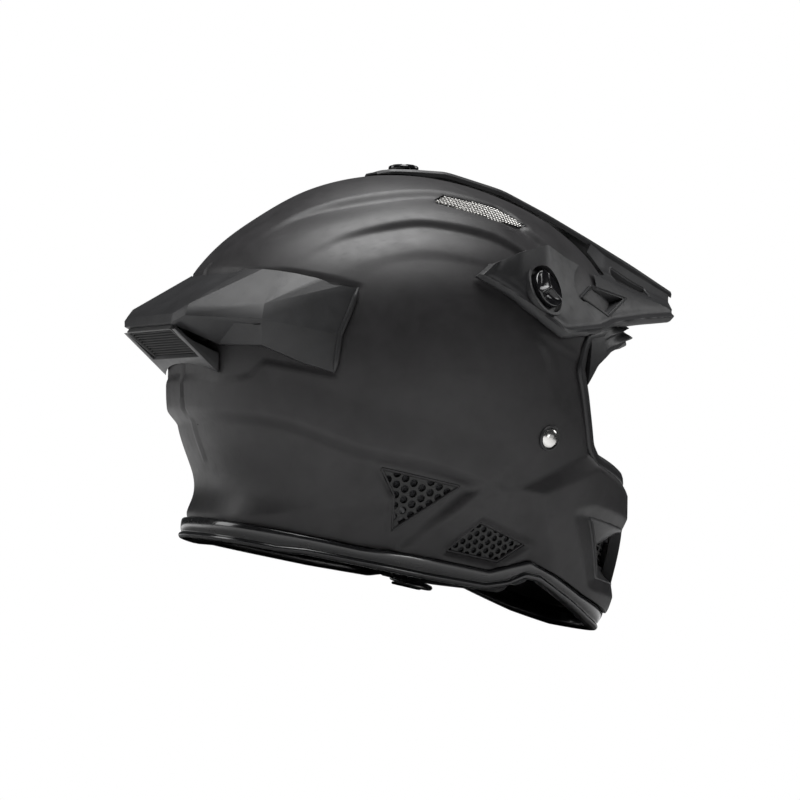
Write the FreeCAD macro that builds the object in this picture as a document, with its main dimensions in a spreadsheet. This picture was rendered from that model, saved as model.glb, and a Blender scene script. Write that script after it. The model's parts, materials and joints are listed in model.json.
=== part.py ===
"""Full-face off-road helmet: shell, edge trims, vents, spoiler, liner, pads, strap and a tilting visor.

Millimetres.  +Z is up, the helmet faces -Y, the wearer's left is +X, and X = 0 is the mirror plane.
The helmet stands on the rear and chin stretches of its bottom edge, which both lie at Z = 0.
"""
import FreeCAD, Part
import Sketcher
import math
import os

V = FreeCAD.Vector
doc = FreeCAD.newDocument("off_road_helmet")

# ---------------------------------------------------------------- driving dimensions

DIMENSIONS = (
    ("shell_height", 281.0),
    ("shell_half_width", 124.0),
    ("shell_rear", 167.0),
    ("shell_front", 192.0),
    ("shell_wall", 3.5),
    ("trim_wall", 2.2),
    ("frame_band", 8.0),
    ("foam_gap", 0.5),
    ("foam_side", 30.0),
    ("crown_pad_wall", 9.0),
    ("cheek_inner_x", 62.0),
    ("strap_width", 22.0),
    ("strap_thickness", 2.0),
    ("visor_wall", 2.5),
    ("knob_radius", 13.5),
    ("knob_height", 5.2),
    ("cap_radius", 10.5),
    ("cap_height", 3.5),
    ("shank_radius", 3.0),
    ("shank_clearance", 0.05),
    ("insert_radius", 5.5),
    ("insert_length", 8.0),
    ("recess_radius", 16.6),
    ("rivet_radius", 8.6),
    ("ring_wire_radius", 1.6),
    ("ring_inner_width", 25.0),
    ("ring_reach", 20.0),
    ("grille_width", 79.0),
    ("grille_length", 29.5),
    ("grille_wall", 2.0),
    ("grille_slot", 2.0),
    ("grille_pitch", 3.6),
    ("centre_shift", -2.0),
)

sheet = doc.addObject("Spreadsheet::Sheet", "sizes")
for line, (alias, value) in enumerate(DIMENSIONS, start=1):
    sheet.set(f"A{line}", alias)
    sheet.set(f"B{line}", str(value))
    sheet.setAlias(f"B{line}", alias)
doc.recompute()


def size(alias):
    return float(getattr(sheet, alias))


WALL = size("shell_wall")
FAR = 260.0            # further than any part of the helmet reaches
SIDES = (("right", -1), ("left", 1))

# ---------------------------------------------------------------- shell form

# Level sections from the neck to the crown.  Columns: height, rear reach, front reach and half
# width in percent of their driving sizes, the Y of the widest place, and how square the rear
# and the front of the section are (2 is an ellipse, more is squarer).
SECTIONS = (
    (-10.7, 74.9, 94.5, 71.0, 11, 2.60, 2.05),
    (0.7, 74.9, 95.0, 72.6, 11, 2.60, 2.05),
    (6.4, 75.4, 97.2, 75.0, 11, 2.60, 2.05),
    (13.5, 76.0, 97.8, 79.8, 11, 2.50, 2.05),
    (24.9, 88.0, 96.8, 87.9, 13, 2.40, 2.05),
    (36.7, 96.4, 92.1, 95.2, 13, 2.30, 2.05),
    (48.0, 100.0, 89.1, 100.0, 11, 2.20, 2.00),
    (59.4, 98.2, 85.9, 100.0, 8, 2.15, 2.00),
    (70.5, 89.2, 81.3, 95.2, 5, 2.10, 2.00),
    (80.8, 74.3, 73.4, 83.9, 1, 2.05, 2.00),
    (89.3, 58.1, 61.5, 67.7, -3, 2.00, 2.00),
    (95.4, 38.9, 45.3, 46.8, -5, 2.00, 2.00),
    (98.9, 18.6, 25.5, 24.2, -7, 2.00, 2.00),
    (100.0, -5.4, 6.8, 1.6, -11, 2.00, 2.00),
)
SECTION_POINTS = 28
FORM_MIDDLE_Z = 100.0


def form_rows(grow):
    """The sections in millimetres, moved outwards by grow: (z, rear, front, half width, widest, powers)."""
    height, half_width = size("shell_height"), size("shell_half_width")
    rear_size, front_size = size("shell_rear"), size("shell_front")
    middle_y = (rear_size - front_size) / 2
    along = 1 + grow / ((rear_size + front_size) / 2)
    across = 1 + grow / half_width
    upright = 1 + grow / (height - FORM_MIDDLE_Z)
    rows = []
    for level, rear, front, half, widest, rear_power, front_power in SECTIONS:
        z = FORM_MIDDLE_Z + (height * level / 100 - FORM_MIDDLE_Z) * upright
        rear_y = middle_y + (rear_size * rear / 100 - middle_y) * along
        front_y = middle_y + (-front_size * front / 100 - middle_y) * along
        widest_y = middle_y + (widest - middle_y) * along
        rows.append((z, rear_y, front_y, half_width * half / 100 * across, widest_y, rear_power, front_power))
    return rows


def section_point(row, turn):
    z, rear_y, front_y, half, widest_y, rear_power, front_power = row
    across, along = math.cos(turn), math.sin(turn)
    power = rear_power if along > 0 else front_power
    reach = rear_y - widest_y if along > 0 else widest_y - front_y
    x = half * math.copysign(abs(across) ** (2 / power), across)
    y = widest_y + reach * math.copysign(abs(along) ** (2 / power), along)
    return V(x, y, z)


FORMS = {}


def form(grow):
    """The closed solid of the helmet's outer form, moved outwards by grow millimetres."""
    if grow not in FORMS:
        wires = []
        for row in form_rows(grow):
            turns = [math.pi / 2 + 2 * math.pi * i / SECTION_POINTS for i in range(SECTION_POINTS)]
            curve = Part.BSplineCurve()
            curve.interpolate(Points=[section_point(row, turn) for turn in turns], PeriodicFlag=True)
            wires.append(Part.Wire([curve.toShape()]))
        FORMS[grow] = Part.makeLoft(wires, True, False)
    return FORMS[grow].copy()


def side_reach(y, z, grow=0.0):
    """How far the form reaches from the mirror plane at this Y and Z."""
    rows = form_rows(grow)
    for low, high in zip(rows, rows[1:]):
        if low[0] <= z <= high[0]:
            share = (z - low[0]) / (high[0] - low[0])
            _, rear, front, half, widest, rear_power, front_power = (
                a + (b - a) * share for a, b in zip(low, high)
            )
            power = rear_power if y > widest else front_power
            reach = rear - widest if y > widest else widest - front
            ratio = min(abs(y - widest) / reach, 1.0)
            return half * (1 - ratio ** power) ** (1 / power)
    return 0.0


def side_normal(y, z, side):
    """The form's outward direction at this Y and Z, on the given side."""
    step = 2.0
    lean_y = (side_reach(y + step, z) - side_reach(y - step, z)) / (2 * step)
    lean_z = (side_reach(y, z + step) - side_reach(y, z - step)) / (2 * step)
    return V(side, -lean_y, -lean_z).normalize()


# ---------------------------------------------------------------- helpers


def prism_across(outline, x_low=-FAR, x_high=FAR):
    """A side-view outline of (y, z) points, extruded across the helmet."""
    points = [V(x_low, y, z) for y, z in outline]
    return Part.Face(Part.makePolygon(points + points[:1])).extrude(V(x_high - x_low, 0, 0))


def prism_forward(outline, y_low, y_high):
    """A front-view outline of (x, z) points, extruded along the helmet."""
    points = [V(x, y_low, z) for x, z in outline]
    return Part.Face(Part.makePolygon(points + points[:1])).extrude(V(0, y_high - y_low, 0))


def prism_upright(outline, z_low, z_high):
    """A plan-view outline of (x, y) points, extruded upwards."""
    points = [V(x, y, z_low) for x, y in outline]
    return Part.Face(Part.makePolygon(points + points[:1])).extrude(V(0, 0, z_high - z_low))


def inset(outline, distance):
    """The outline with every side moved inwards (or outwards, below zero) by distance."""
    area = sum(a[0] * b[1] - b[0] * a[1] for a, b in zip(outline, outline[1:] + outline[:1]))
    turn = 1.0 if area > 0 else -1.0
    lines = []
    for (ax, ay), (bx, by) in zip(outline, outline[1:] + outline[:1]):
        length = math.hypot(bx - ax, by - ay)
        nx, ny = -(by - ay) / length * turn, (bx - ax) / length * turn
        lines.append((nx, ny, nx * ax + ny * ay + distance))
    moved = []
    for (a, b, c), (d, e, f) in zip(lines[-1:] + lines[:-1], lines):
        scale = a * e - b * d
        moved.append(((c * e - b * f) / scale, (a * f - c * d) / scale))
    return moved


def skin(outer, inner):
    """The wall between two grown forms: one solid with an outer and an inner surface."""
    return Part.makeSolid(Part.makeCompound([form(outer).Shells[0], form(inner).Shells[0].reversed()]))


def cylinder(radius, height, base, axis):
    return Part.makeCylinder(radius, height, base, axis)


def half_space(side):
    low, high = (-FAR, -0.5) if side < 0 else (0.5, FAR)
    return Part.makeBox(high - low, 2 * FAR, 2 * FAR, V(low, -FAR, -FAR))


def mirrored(shape):
    return shape.mirror(V(0, 0, 0), V(1, 0, 0))


def solids_only(shape):
    """The shape as one solid, or a compound when it is made of several."""
    pieces = [piece for piece in shape.Solids if piece.Volume > 1.0]
    return pieces[0] if len(pieces) == 1 else Part.makeCompound(pieces)


parts = {}


def keep(name, shape):
    """Stores a sub-part whose shape is made with Part's own functions."""
    feature = doc.addObject("Part::Feature", name)
    feature.Shape = solids_only(shape)
    feature.Placement = FreeCAD.Placement()
    feature.Label = name
    parts[name] = feature
    return feature


def keep_feature(name, feature):
    feature.Label = name
    parts[name] = feature
    return feature


# ---------------------------------------------------------------- outlines, all in side view (y, z)

RIM = [(FAR, 0.0), (98, 0.0), (82, 2.0), (0, 4.0), (-47, 6.5), (-64, 12), (-77, 20), (-90, 20.5),
       (-121, 12), (-150, 4), (-172, 0.0), (-FAR, 0.0)]
TRIM_TOP = [(FAR, 16.0), (109, 14.5), (49, 15.0), (15, 18), (-48, 20), (-78, 33), (-102, 29),
            (-134, 21), (-173, 14.5), (-FAR, 14.0)]
EYE_PORT = [(-77, 190), (-240, 260), (-240, 99), (-170, 101), (-111, 106), (-100, 113.5),
            (-89, 133), (-82, 146), (-72, 163), (-73, 180)]
# Lower edge of the brow, which is the widest part of the eye port's frame.
BROW_EDGE = [(FAR, 150), (-82, 150), (-85, 156), (-92, 170), (-106, 183.5), (-130, 197), (-FAR, 214)]
JAW_VENT = [(53, 66), (-6, 67), (31, 29), (38, 51)]
CHEEK_VENT = [(-12, 25), (-30, 48), (-71, 42), (-54, 26)]
CROWN_VENT = [(38, 254), (30, 260), (-8, 261.5), (-30, 254), (-2, 251.5)]
MOUTH_VENT = [(-84, 72), (84, 72), (62, 34), (-62, 34)]      # front view, (x, z)


def below(line, rise=0.0):
    """Everything under a side-view line."""
    raised = [(y, z + rise) for y, z in line]
    return prism_across(raised + [(-FAR, -FAR), (FAR, -FAR)])


# ---------------------------------------------------------------- visor fixings

KNOB_LEAN = math.radians(28)         # how far the knob's axis looks up
KNOB_HEADING = math.radians(22)      # and how far it looks forward
KNOB_SEAT = (112.6, -30.0, 205.1)    # where the axis meets the shell, on the wearer's left
CAP_LEAN = math.radians(12)
CAP_SEAT = V(0, 32.4, 277.4)
CAP_AXIS = V(0, math.sin(CAP_LEAN), math.cos(CAP_LEAN))
KNOB_GAP = 4.4                       # shell to the knob's underside
CAP_GAP = 5.0
CUP_FLOOR = 1.3                      # shell to the visor's cup
CUP_WALL = 2.0
WING_FACE = 6.2


def knob_axis(side):
    level = math.cos(KNOB_LEAN)
    return V(side * level * math.cos(KNOB_HEADING), -level * math.sin(KNOB_HEADING), math.sin(KNOB_LEAN))


def knob_seat(side):
    return V(side * KNOB_SEAT[0], KNOB_SEAT[1], KNOB_SEAT[2])


def fixings():
    """Each visor screw's name, seat on the shell and outward axis."""
    found = [(f"visor_screw_{word}", knob_seat(side), knob_axis(side)) for word, side in SIDES]
    return found + [("visor_screw_top", CAP_SEAT, CAP_AXIS)]


def turned_to(seat, axis):
    return FreeCAD.Placement(seat, FreeCAD.Rotation(V(0, 0, 1), axis))


# ---------------------------------------------------------------- shell and what closes its edges

RIVET_Y, RIVET_Z = -60.0, 113.5
STRAP_Y = -60.0
STRAP_LEVEL = 9.0
RING_BAR_X = 46.0
RING_SPACING = 3.6
RING_TILT = 9.0


def make_outer_shell():
    shell = skin(0.0, -WALL)
    shell = shell.cut(below(TRIM_TOP))
    shell = shell.cut(prism_across(EYE_PORT))
    shell = shell.cut(prism_forward(MOUTH_VENT, -FAR, -95))
    for vent in (JAW_VENT, CHEEK_VENT, CROWN_VENT):
        shell = shell.cut(prism_across(vent))
    for _, seat, axis in fixings():
        shell = shell.cut(cylinder(size("insert_radius"), 24, seat - axis * 14, axis))
    for _, side in SIDES:
        axis = side_normal(RIVET_Y, RIVET_Z, side)
        seat = V(side * side_reach(RIVET_Y, RIVET_Z), RIVET_Y, RIVET_Z)
        shell = shell.cut(cylinder(3.0, 20, seat - axis * 12, axis))
    keep("outer_shell", shell)


def make_bottom_edge_trim():
    """A rubber edge as thick as the shell and its own two lips; the shell's edge stands on it."""
    wall = size("trim_wall")
    band = skin(wall, -WALL - wall).cut(below(RIM))
    keep("bottom_edge_trim", band.common(below(TRIM_TOP)))


def make_eye_port_frame():
    ring = skin(1.2, -7.0)
    ring = ring.common(prism_across(inset(EYE_PORT, 0.2)))
    hole = prism_across(inset(EYE_PORT, size("frame_band"))).common(below(BROW_EDGE))
    keep("eye_port_frame", ring.cut(hole))


def make_vents():
    frame = skin(-1.5, -8.0).common(prism_forward(inset(MOUTH_VENT, 0.3), -FAR, -95))
    keep("mouth_vent_frame", frame.cut(prism_forward(inset(MOUTH_VENT, 7.5), -FAR, -95)))
    grille = skin(-4.0, -6.0).common(prism_forward(inset(MOUTH_VENT, 7.8), -FAR, -95))
    keep("mouth_vent_grille", grille)
    for name, outline in (("jaw_vent_grille", JAW_VENT), ("cheek_vent_grille", CHEEK_VENT),
                          ("crown_vent_mesh", CROWN_VENT)):
        plates = skin(-1.0, -3.2).common(prism_across(inset(outline, 0.3)))
        for word, side in SIDES:
            keep(f"{name}_{word}", plates.common(half_space(side)))


# ---------------------------------------------------------------- rear spoiler

SPOILER_PLAN = [(-41, 193), (41, 193), (50, 188), (80, 147), (103, 118), (106, 97), (80, 90), (0, 120),
                (-80, 90), (-106, 97), (-103, 118), (-80, 147), (-50, 188)]
SPOILER_SIDE = [(97, 176), (128, 178), (158, 172), (188, 143), (193, 136), (193, 129.5), (176, 121),
                (150, 118), (102, 119), (104, 143)]
DUCT_SIDE = [(191, 126.5), (160, 109), (152, 104.5), (144, 108.5), (140, 117), (150, 117.4), (176, 120.4)]
SPOILER_CHAMBER = [(150, 100), (150, 122), (176, 125), (186, 129.8), (194, 133.2), (194, 100)]
DUCT_WELL = [(130, 98.4), (168, 116.3), (168, 90), (230, 90), (230, 160), (130, 160)]
GRILLE_FRONT = (166.0, 115.7)
GRILLE_SLOTS = 8
GRILLE_TILT = math.degrees(math.atan2(17.2, 36.5))


def make_rear_spoiler():
    body = prism_upright(SPOILER_PLAN, 100, 200).common(prism_across(SPOILER_SIDE))
    chamber = prism_across(SPOILER_CHAMBER, -40.2, 40.2)
    body = body.cut(form(0.4)).cut(chamber)
    keep("rear_spoiler", body)
    duct = prism_across(DUCT_SIDE, -46, 46).cut(prism_across(DUCT_WELL, -40.2, 40.2))
    keep("rear_duct", duct.cut(form(0.4)))


def origin_plane(body, role):
    return [plane for plane in body.Origin.OriginFeatures if plane.Role == role][0]


def sketch_on(body, name, role="XY_Plane"):
    drawing = body.newObject("Sketcher::SketchObject", name)
    drawing.AttachmentSupport = [(origin_plane(body, role), "")]
    drawing.MapMode = "FlatFace"
    return drawing


def draw_rectangle(drawing, x_low, x_high, y_low, y_high):
    corners = [V(x_low, y_low, 0), V(x_high, y_low, 0), V(x_high, y_high, 0), V(x_low, y_high, 0)]
    for start, end in zip(corners, corners[1:] + corners[:1]):
        drawing.addGeometry(Part.LineSegment(start, end), False)


def draw_circle(drawing, radius, centre=V(0, 0, 0)):
    drawing.addGeometry(Part.Circle(centre, V(0, 0, 1), radius), False)


def sized_circle(drawing, radius, expression):
    """A circle about the origin whose radius is bound to the sheet."""
    draw_circle(drawing, radius)
    index = drawing.GeometryCount - 1
    drawing.addConstraint(Sketcher.Constraint("Coincident", index, 3, -1, 1))
    drawing.addConstraint(Sketcher.Constraint("Radius", index, radius))
    drawing.setExpression(f"Constraints[{drawing.ConstraintCount - 1}]", expression)


def make_rear_grille():
    """A slotted plate that slopes down and forward from the spoiler's tip."""
    width, length, wall = size("grille_width"), size("grille_length"), size("grille_wall")
    body = doc.addObject("PartDesign::Body", "rear_grille_body")
    plate = sketch_on(body, "grille_plate_outline")
    draw_rectangle(plate, -width / 2, width / 2, 0, length)
    pad = body.newObject("PartDesign::Pad", "grille_plate")
    pad.Profile = plate
    pad.setExpression("Length", "sizes.grille_wall")
    slot = sketch_on(body, "grille_slot_outline")
    draw_rectangle(slot, -width / 2 + 3, width / 2 - 3, 2.2, 2.2 + size("grille_slot"))
    pocket = body.newObject("PartDesign::Pocket", "grille_slots")
    pocket.Profile = slot
    pocket.Type = 1
    pocket.Reversed = True
    doc.recompute()
    if body.Shape.Volume > width * length * wall - 1:
        raise RuntimeError("the grille's slot cuts nothing")
    pattern = body.newObject("PartDesign::LinearPattern", "grille_slot_row")
    pattern.Originals = [pocket]
    pattern.Direction = (origin_plane(body, "XZ_Plane"), [""])
    pattern.Occurrences = GRILLE_SLOTS
    pattern.Length = (GRILLE_SLOTS - 1) * size("grille_pitch")
    body.Tip = pattern
    doc.recompute()
    if body.Shape.BoundBox.YMin < -0.1 or len(body.Shape.Faces) < 40:
        pattern.Reversed = True
    body.Placement = FreeCAD.Placement(V(0, *GRILLE_FRONT), FreeCAD.Rotation(V(1, 0, 0), GRILLE_TILT))
    keep_feature("rear_grille", body)


# ---------------------------------------------------------------- inside: foam, pads

CAVITY_MIDDLE = V(0, 13, 130)
CAVITY_TOP = 241.0


def cavity(shrink):
    """The head space: a round-topped column, open downwards, smaller by shrink."""
    half = size("shell_half_width") - WALL - size("foam_side") - shrink
    length = 115.0 - shrink
    height = CAVITY_TOP - CAVITY_MIDDLE.z - shrink
    scale = FreeCAD.Matrix()
    scale.scale(V(half, length, height))
    dome = Part.makeSphere(1.0).transformGeometry(scale)
    flat = FreeCAD.Matrix()
    flat.scale(V(half, length, 1.0))
    column = Part.makeCylinder(1.0, 200.0, V(0, 0, -200)).transformGeometry(flat)
    space = dome.fuse(column)
    space.translate(CAVITY_MIDDLE)
    return space


FOAM_SIDE = [(FAR, 320), (-FAR, 320), (-FAR, 274), (-78, 194), (-68, 182), (-66, 165), (-62, 140),
             (-50, 129), (62, 129), (88, 38), (FAR, 38)]


def fixing_wells(shape, radius):
    for _, seat, axis in fixings():
        shape = shape.cut(cylinder(radius, 30, seat - axis * 12, axis))
    return shape


def make_foam():
    outer = -WALL - size("foam_gap")
    liner = form(outer).cut(cavity(0)).common(prism_across(FOAM_SIDE))
    keep("impact_liner", fixing_wells(liner, size("insert_radius") + 0.6))
    chin = skin(outer - 0.2, -21.0).common(prism_across([(-103, 31), (-103, 96), (-FAR, 92), (-FAR, 31)]))
    pocket = prism_forward(inset(MOUTH_VENT, -1.0), -FAR, -70).cut(form(-8.6))
    keep("chin_foam", chin.cut(pocket).cut(prism_forward(inset(MOUTH_VENT, 10), -FAR, -70)))


def make_pads():
    pad_wall = size("crown_pad_wall")
    crown = cavity(0.6).cut(cavity(0.6 + pad_wall))
    lower = [(FAR, 320), (-FAR, 320), (-FAR, 200), (-80, 198), (-66, 150), (-50, 134), (62, 134),
             (74, 100), (FAR, 100)]
    keep("crown_pad", crown.common(prism_across(lower)))
    roll = skin(-6.6, -27.0).common(prism_across([(66, 9), (66, 33), (FAR, 33), (FAR, 9)]))
    keep("neck_roll", roll)
    cheek = [(60, 15), (-40, 13), (-66, 12), (-90, 14), (-99, 28), (-99, 92), (-90, 104), (-74, 122),
             (48, 124), (60, 90)]
    strap_room = STRAP_Y - size("strap_width") / 2 - 2.5, side_reach(STRAP_Y, 20, -22.0)
    for word, side in SIDES:
        inner_x = size("cheek_inner_x")
        low, high = (inner_x, FAR) if side > 0 else (-FAR, -inner_x)
        pad = form(-10.0).common(prism_across(cheek, low, high))
        notch = Part.makeBox(FAR, size("strap_width") + 5, 27, V(strap_room[1], strap_room[0], 0))
        pad = pad.cut(notch if side > 0 else mirrored(notch))
        axis = side_normal(RIVET_Y, RIVET_Z, side)
        seat = V(side * side_reach(RIVET_Y, RIVET_Z), RIVET_Y, RIVET_Z)
        pad = pad.cut(cylinder(14.0, 12.0, seat - axis * 11.5, axis))
        keep(f"cheek_pad_{word}", pad)


PAD_SNAPS = ((30, 40), (-30, 100), (30, 100))


def make_pad_snaps():
    """Press studs that hold the cheek pads to the shell, in the gap between the two."""
    for word, side in SIDES:
        studs = []
        for y, z in PAD_SNAPS:
            axis = side_normal(y, z, side)
            seat = V(side * side_reach(y, z, -10.0), y, z)
            studs.append(cylinder(5.0, 5.0, seat + axis * 0.5, axis))
        keep(f"cheek_pad_snaps_{word}", Part.makeCompound(studs))


# ---------------------------------------------------------------- chin strap


def ribbon(points, thickness):
    """A flat strap along (x, z) points, as wide as the strap and mitred at each point."""
    half = size("strap_width") / 2
    outline_up, outline_down = [], []
    for i, (x, z) in enumerate(points):
        before, after = points[max(i - 1, 0)], points[min(i + 1, len(points) - 1)]
        length = math.hypot(after[0] - before[0], after[1] - before[1])
        nx, nz = -(after[1] - before[1]) / length, (after[0] - before[0]) / length
        outline_up.append((x + nx * thickness / 2, z + nz * thickness / 2))
        outline_down.append((x - nx * thickness / 2, z - nz * thickness / 2))
    return prism_forward(outline_up + outline_down[::-1], STRAP_Y - half, STRAP_Y + half)


def ring_loop(radius):
    """A flat-sided roll along Y that goes round both ring bars."""
    half = size("strap_width") / 2
    low, high = STRAP_LEVEL - RING_SPACING / 2, STRAP_LEVEL + RING_SPACING / 2
    roll = Part.makeBox(2 * radius, 2 * half, high - low, V(RING_BAR_X - radius, STRAP_Y - half, low))
    for level in (low, high):
        roll = roll.fuse(cylinder(radius, 2 * half, V(RING_BAR_X, STRAP_Y - half, level), V(0, 1, 0)))
    return roll


def make_straps():
    """Each strap runs from its rivet between shell and pad, then across the neck opening."""
    half, thick = size("strap_width") / 2, size("strap_thickness")
    hidden_gap = -6.2
    reach = side_reach(STRAP_Y, 20, hidden_gap - thick / 2)
    column = [(STRAP_Y - half, 20), (STRAP_Y - half, 122), (STRAP_Y + half, 122), (STRAP_Y + half, 20)]
    hidden = skin(hidden_gap, hidden_gap - thick).common(prism_across(column))
    ends = {"right": 34.0, "left": RING_BAR_X + 3.2}
    for word, side in SIDES:
        bend = [(reach - 0.4, 24), (reach - 3.8, 16), (reach - 8.5, 11), (reach - 15.5, STRAP_LEVEL)]
        points = [(side * x, z) for x, z in bend] + [(ends[word], STRAP_LEVEL)]
        band = ribbon(points, thick)
        if side > 0:
            band = band.fuse(ring_loop(2.2 + thick)).cut(ring_loop(2.2))
        keep(f"chin_strap_{word}", hidden.common(half_space(side)).fuse(band))


def make_strap_snap():
    """The press button that holds the strap's loose end."""
    button = Part.makeCylinder(6.0, 2.2, V(-8, STRAP_Y, STRAP_LEVEL + 1.0))
    keep("strap_snap", button)


def make_strap_rivets():
    """Each side: a domed rivet in a washer, and the anchor plate behind the strap."""
    for word, side in SIDES:
        axis = side_normal(RIVET_Y, RIVET_Z, side)
        seat = V(side * side_reach(RIVET_Y, RIVET_Z), RIVET_Y, RIVET_Z)
        washer = doc.addObject("Part::Cylinder", f"rivet_washer_{word}_disc")
        washer.setExpression("Radius", "sizes.rivet_radius")
        washer.Height = 1.6
        head = doc.addObject("Part::Cone", f"rivet_head_{word}_cone")
        head.setExpression("Radius1", "sizes.rivet_radius * 0.78")
        head.setExpression("Radius2", "sizes.rivet_radius * 0.5")
        head.Height = 1.8
        head.Placement = FreeCAD.Placement(V(0, 0, 1.6), FreeCAD.Rotation())
        shank = doc.addObject("Part::Cylinder", f"rivet_shank_{word}_rod")
        shank.Radius = 2.5
        shank.Height = 5.0
        shank.Placement = FreeCAD.Placement(V(0, 0, -4.2), FreeCAD.Rotation())
        rivet = doc.addObject("Part::MultiFuse", f"rivet_{word}")
        rivet.Shapes = [washer, head, shank]
        rivet.Placement = turned_to(seat + axis * 0.5, axis)
        keep_feature(f"strap_rivet_{word}", rivet)
        plate = keep(f"strap_anchor_{word}", Part.makeBox(20, 16, 1.2, V(-10, -8, -9.6)))
        plate.Placement = turned_to(seat, axis)


def make_d_ring(name, lift, swing):
    """A wire ring with a straight bar along Y and a round bow towards the wearer's right."""
    wire, reach = size("ring_wire_radius"), size("ring_reach")
    half = size("ring_inner_width") / 2 + wire
    bar_low, bar_high = V(0, -half, 0), V(0, half, 0)
    straight = reach - half
    corner_low, corner_high = V(-max(straight, 2.0), -half, 0), V(-max(straight, 2.0), half, 0)
    bow = Part.Arc(corner_high, V(corner_high.x - half, 0, 0), corner_low)
    path = Part.Wire([Part.LineSegment(bar_low, bar_high).toShape(),
                      Part.LineSegment(bar_high, corner_high).toShape(), bow.toShape(),
                      Part.LineSegment(corner_low, bar_low).toShape()])
    profile = Part.Wire([Part.Circle(V(0, 0, 0), V(0, 1, 0), wire).toShape()])
    ring = path.makePipeShell([profile], True, False, 1)
    feature = keep(name, ring)
    feature.Placement = FreeCAD.Placement(V(RING_BAR_X, STRAP_Y, STRAP_LEVEL + lift),
                                          FreeCAD.Rotation(V(0, 1, 0), swing))


# ---------------------------------------------------------------- visor

# Points on the wearer's left half, from the rear to the front: lower edge and crest of the wing.
WING = (((121, 22, 203), (120, 13, 213)), ((123, -5, 196), (117, -8, 227)),
        ((126, -30, 187), (105, -33, 240)), ((121, -52, 181), (92, -56, 237.5)),
        ((105, -85, 192), (77, -88, 236)), ((90, -104, 202), (70, -106, 235.5)),
        ((68, -140, 215), (55, -141, 235.5)), ((46, -177, 227), (41, -178, 235)))
# Crest, shoulder and ridge of the top face between the wing and the tongue.
HOOD = (((88, -61, 237), (50, -94, 250), (24, -112, 268)),
        ((70, -106, 235.5), (36, -118, 248), (23, -125, 264)),
        ((55, -141, 235.5), (29, -146, 246.5), (21, -150, 259.5)),
        ((41, -178, 235), (24, -184, 243), (18, -187, 251)))
# The tongue over the crown: Y, height at the middle, height at the edge, half width.
TONGUE = ((57, 273.4, 272.6, 10), (50, 277.5, 276, 17), (33, 281.6, 280, 20), (10, 287, 284.8, 21),
          (-35, 286.6, 284.2, 23), (-73, 279.4, 277, 25), (-110, 273, 268.6, 25), (-150, 265.3, 260, 22),
          (-189, 254.5, 251, 18.5))
WING_WINDOW = [(-72, 214), (-83, 224), (-118, 226), (-98, 209)]
TOP_WINDOW = [(30, -128), (52, -122), (40, -158), (27, -160)]


def plate(grid, drop):
    """A bent sheet of flat facets: the grid is its upper face and drop is its thickness."""
    top = [[V(*point) for point in line] for line in grid]
    low = [[point + drop for point in line] for line in top]
    rows, columns = len(top), len(top[0])
    facets = []

    def facet(a, b, c):
        facets.append(Part.Face(Part.makePolygon([a, b, c, a])))

    def patch(a, b, c, d):
        facet(a, b, c)
        facet(a, c, d)

    for i in range(rows - 1):
        for j in range(columns - 1):
            patch(top[i][j], top[i + 1][j], top[i + 1][j + 1], top[i][j + 1])
            patch(low[i][j], low[i][j + 1], low[i + 1][j + 1], low[i + 1][j])
        patch(top[i][0], low[i][0], low[i + 1][0], top[i + 1][0])
        patch(top[i][-1], top[i + 1][-1], low[i + 1][-1], low[i][-1])
    for j in range(columns - 1):
        patch(top[0][j], top[0][j + 1], low[0][j + 1], low[0][j])
        patch(top[-1][j], low[-1][j], low[-1][j + 1], top[-1][j + 1])
    solid = Part.Solid(Part.Shell(facets))
    return solid if solid.Volume > 0 else solid.reversed()


VISOR_HINGE = V(0, 16, 197)
VISOR_TRAVEL = 2.0                   # degrees each way
VISOR_CLEARANCE = 0.5
FRAME_CLEARANCE = 1.7


def clear_of_shell(visor):
    """Cuts away whatever would touch the shell or the eye port frame at either end of the travel."""
    port = form(FRAME_CLEARANCE).common(prism_across(EYE_PORT))
    for turn in (-VISOR_TRAVEL, VISOR_TRAVEL):
        for tool in (form(VISOR_CLEARANCE), port.copy()):
            tool.rotate(VISOR_HINGE, V(1, 0, 0), turn)
            visor = visor.cut(tool)
    return visor


def make_visor():
    wall = size("visor_wall")
    wing_drop = knob_axis(1) * -wall
    wing = plate(WING, wing_drop)
    wing = wing.cut(prism_across(WING_WINDOW, 0, FAR))
    hood_grid = [[line[0], line[1], (line[2][0] - 1.0, line[2][1], line[2][2])] for line in HOOD]
    hood = plate(hood_grid, V(0, 0, -wall))
    hood = hood.cut(prism_upright(TOP_WINDOW, 200, 300))
    seat, axis = knob_seat(1), knob_axis(1)
    cup_radius = size("recess_radius") + 2.0
    cup = cylinder(cup_radius, WING_FACE - CUP_FLOOR, seat + axis * CUP_FLOOR, axis)
    well = cylinder(size("recess_radius"), 20, seat + axis * (CUP_FLOOR + CUP_WALL), axis)
    hole = cylinder(6.6, 12, seat - axis * 2, axis)
    half = wing.fuse([hood, cup]).cut(well).cut(hole)
    tongue_grid = [[(-w, y, edge), (0, y, middle), (w, y, edge)] for y, middle, edge, w in TONGUE]
    tongue = plate(tongue_grid, V(0, 0, -wall - 0.2))
    slot = Part.makeBox(7.2, 15.0, 30.0, V(-3.6, -7.5, -10))
    slot.Placement = turned_to(CAP_SEAT, CAP_AXIS)
    visor = tongue.cut(slot).fuse([half, mirrored(half)]).removeSplitter()
    visor = clear_of_shell(visor)
    keep("visor", max(visor.Solids, key=lambda piece: piece.Volume))


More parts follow.
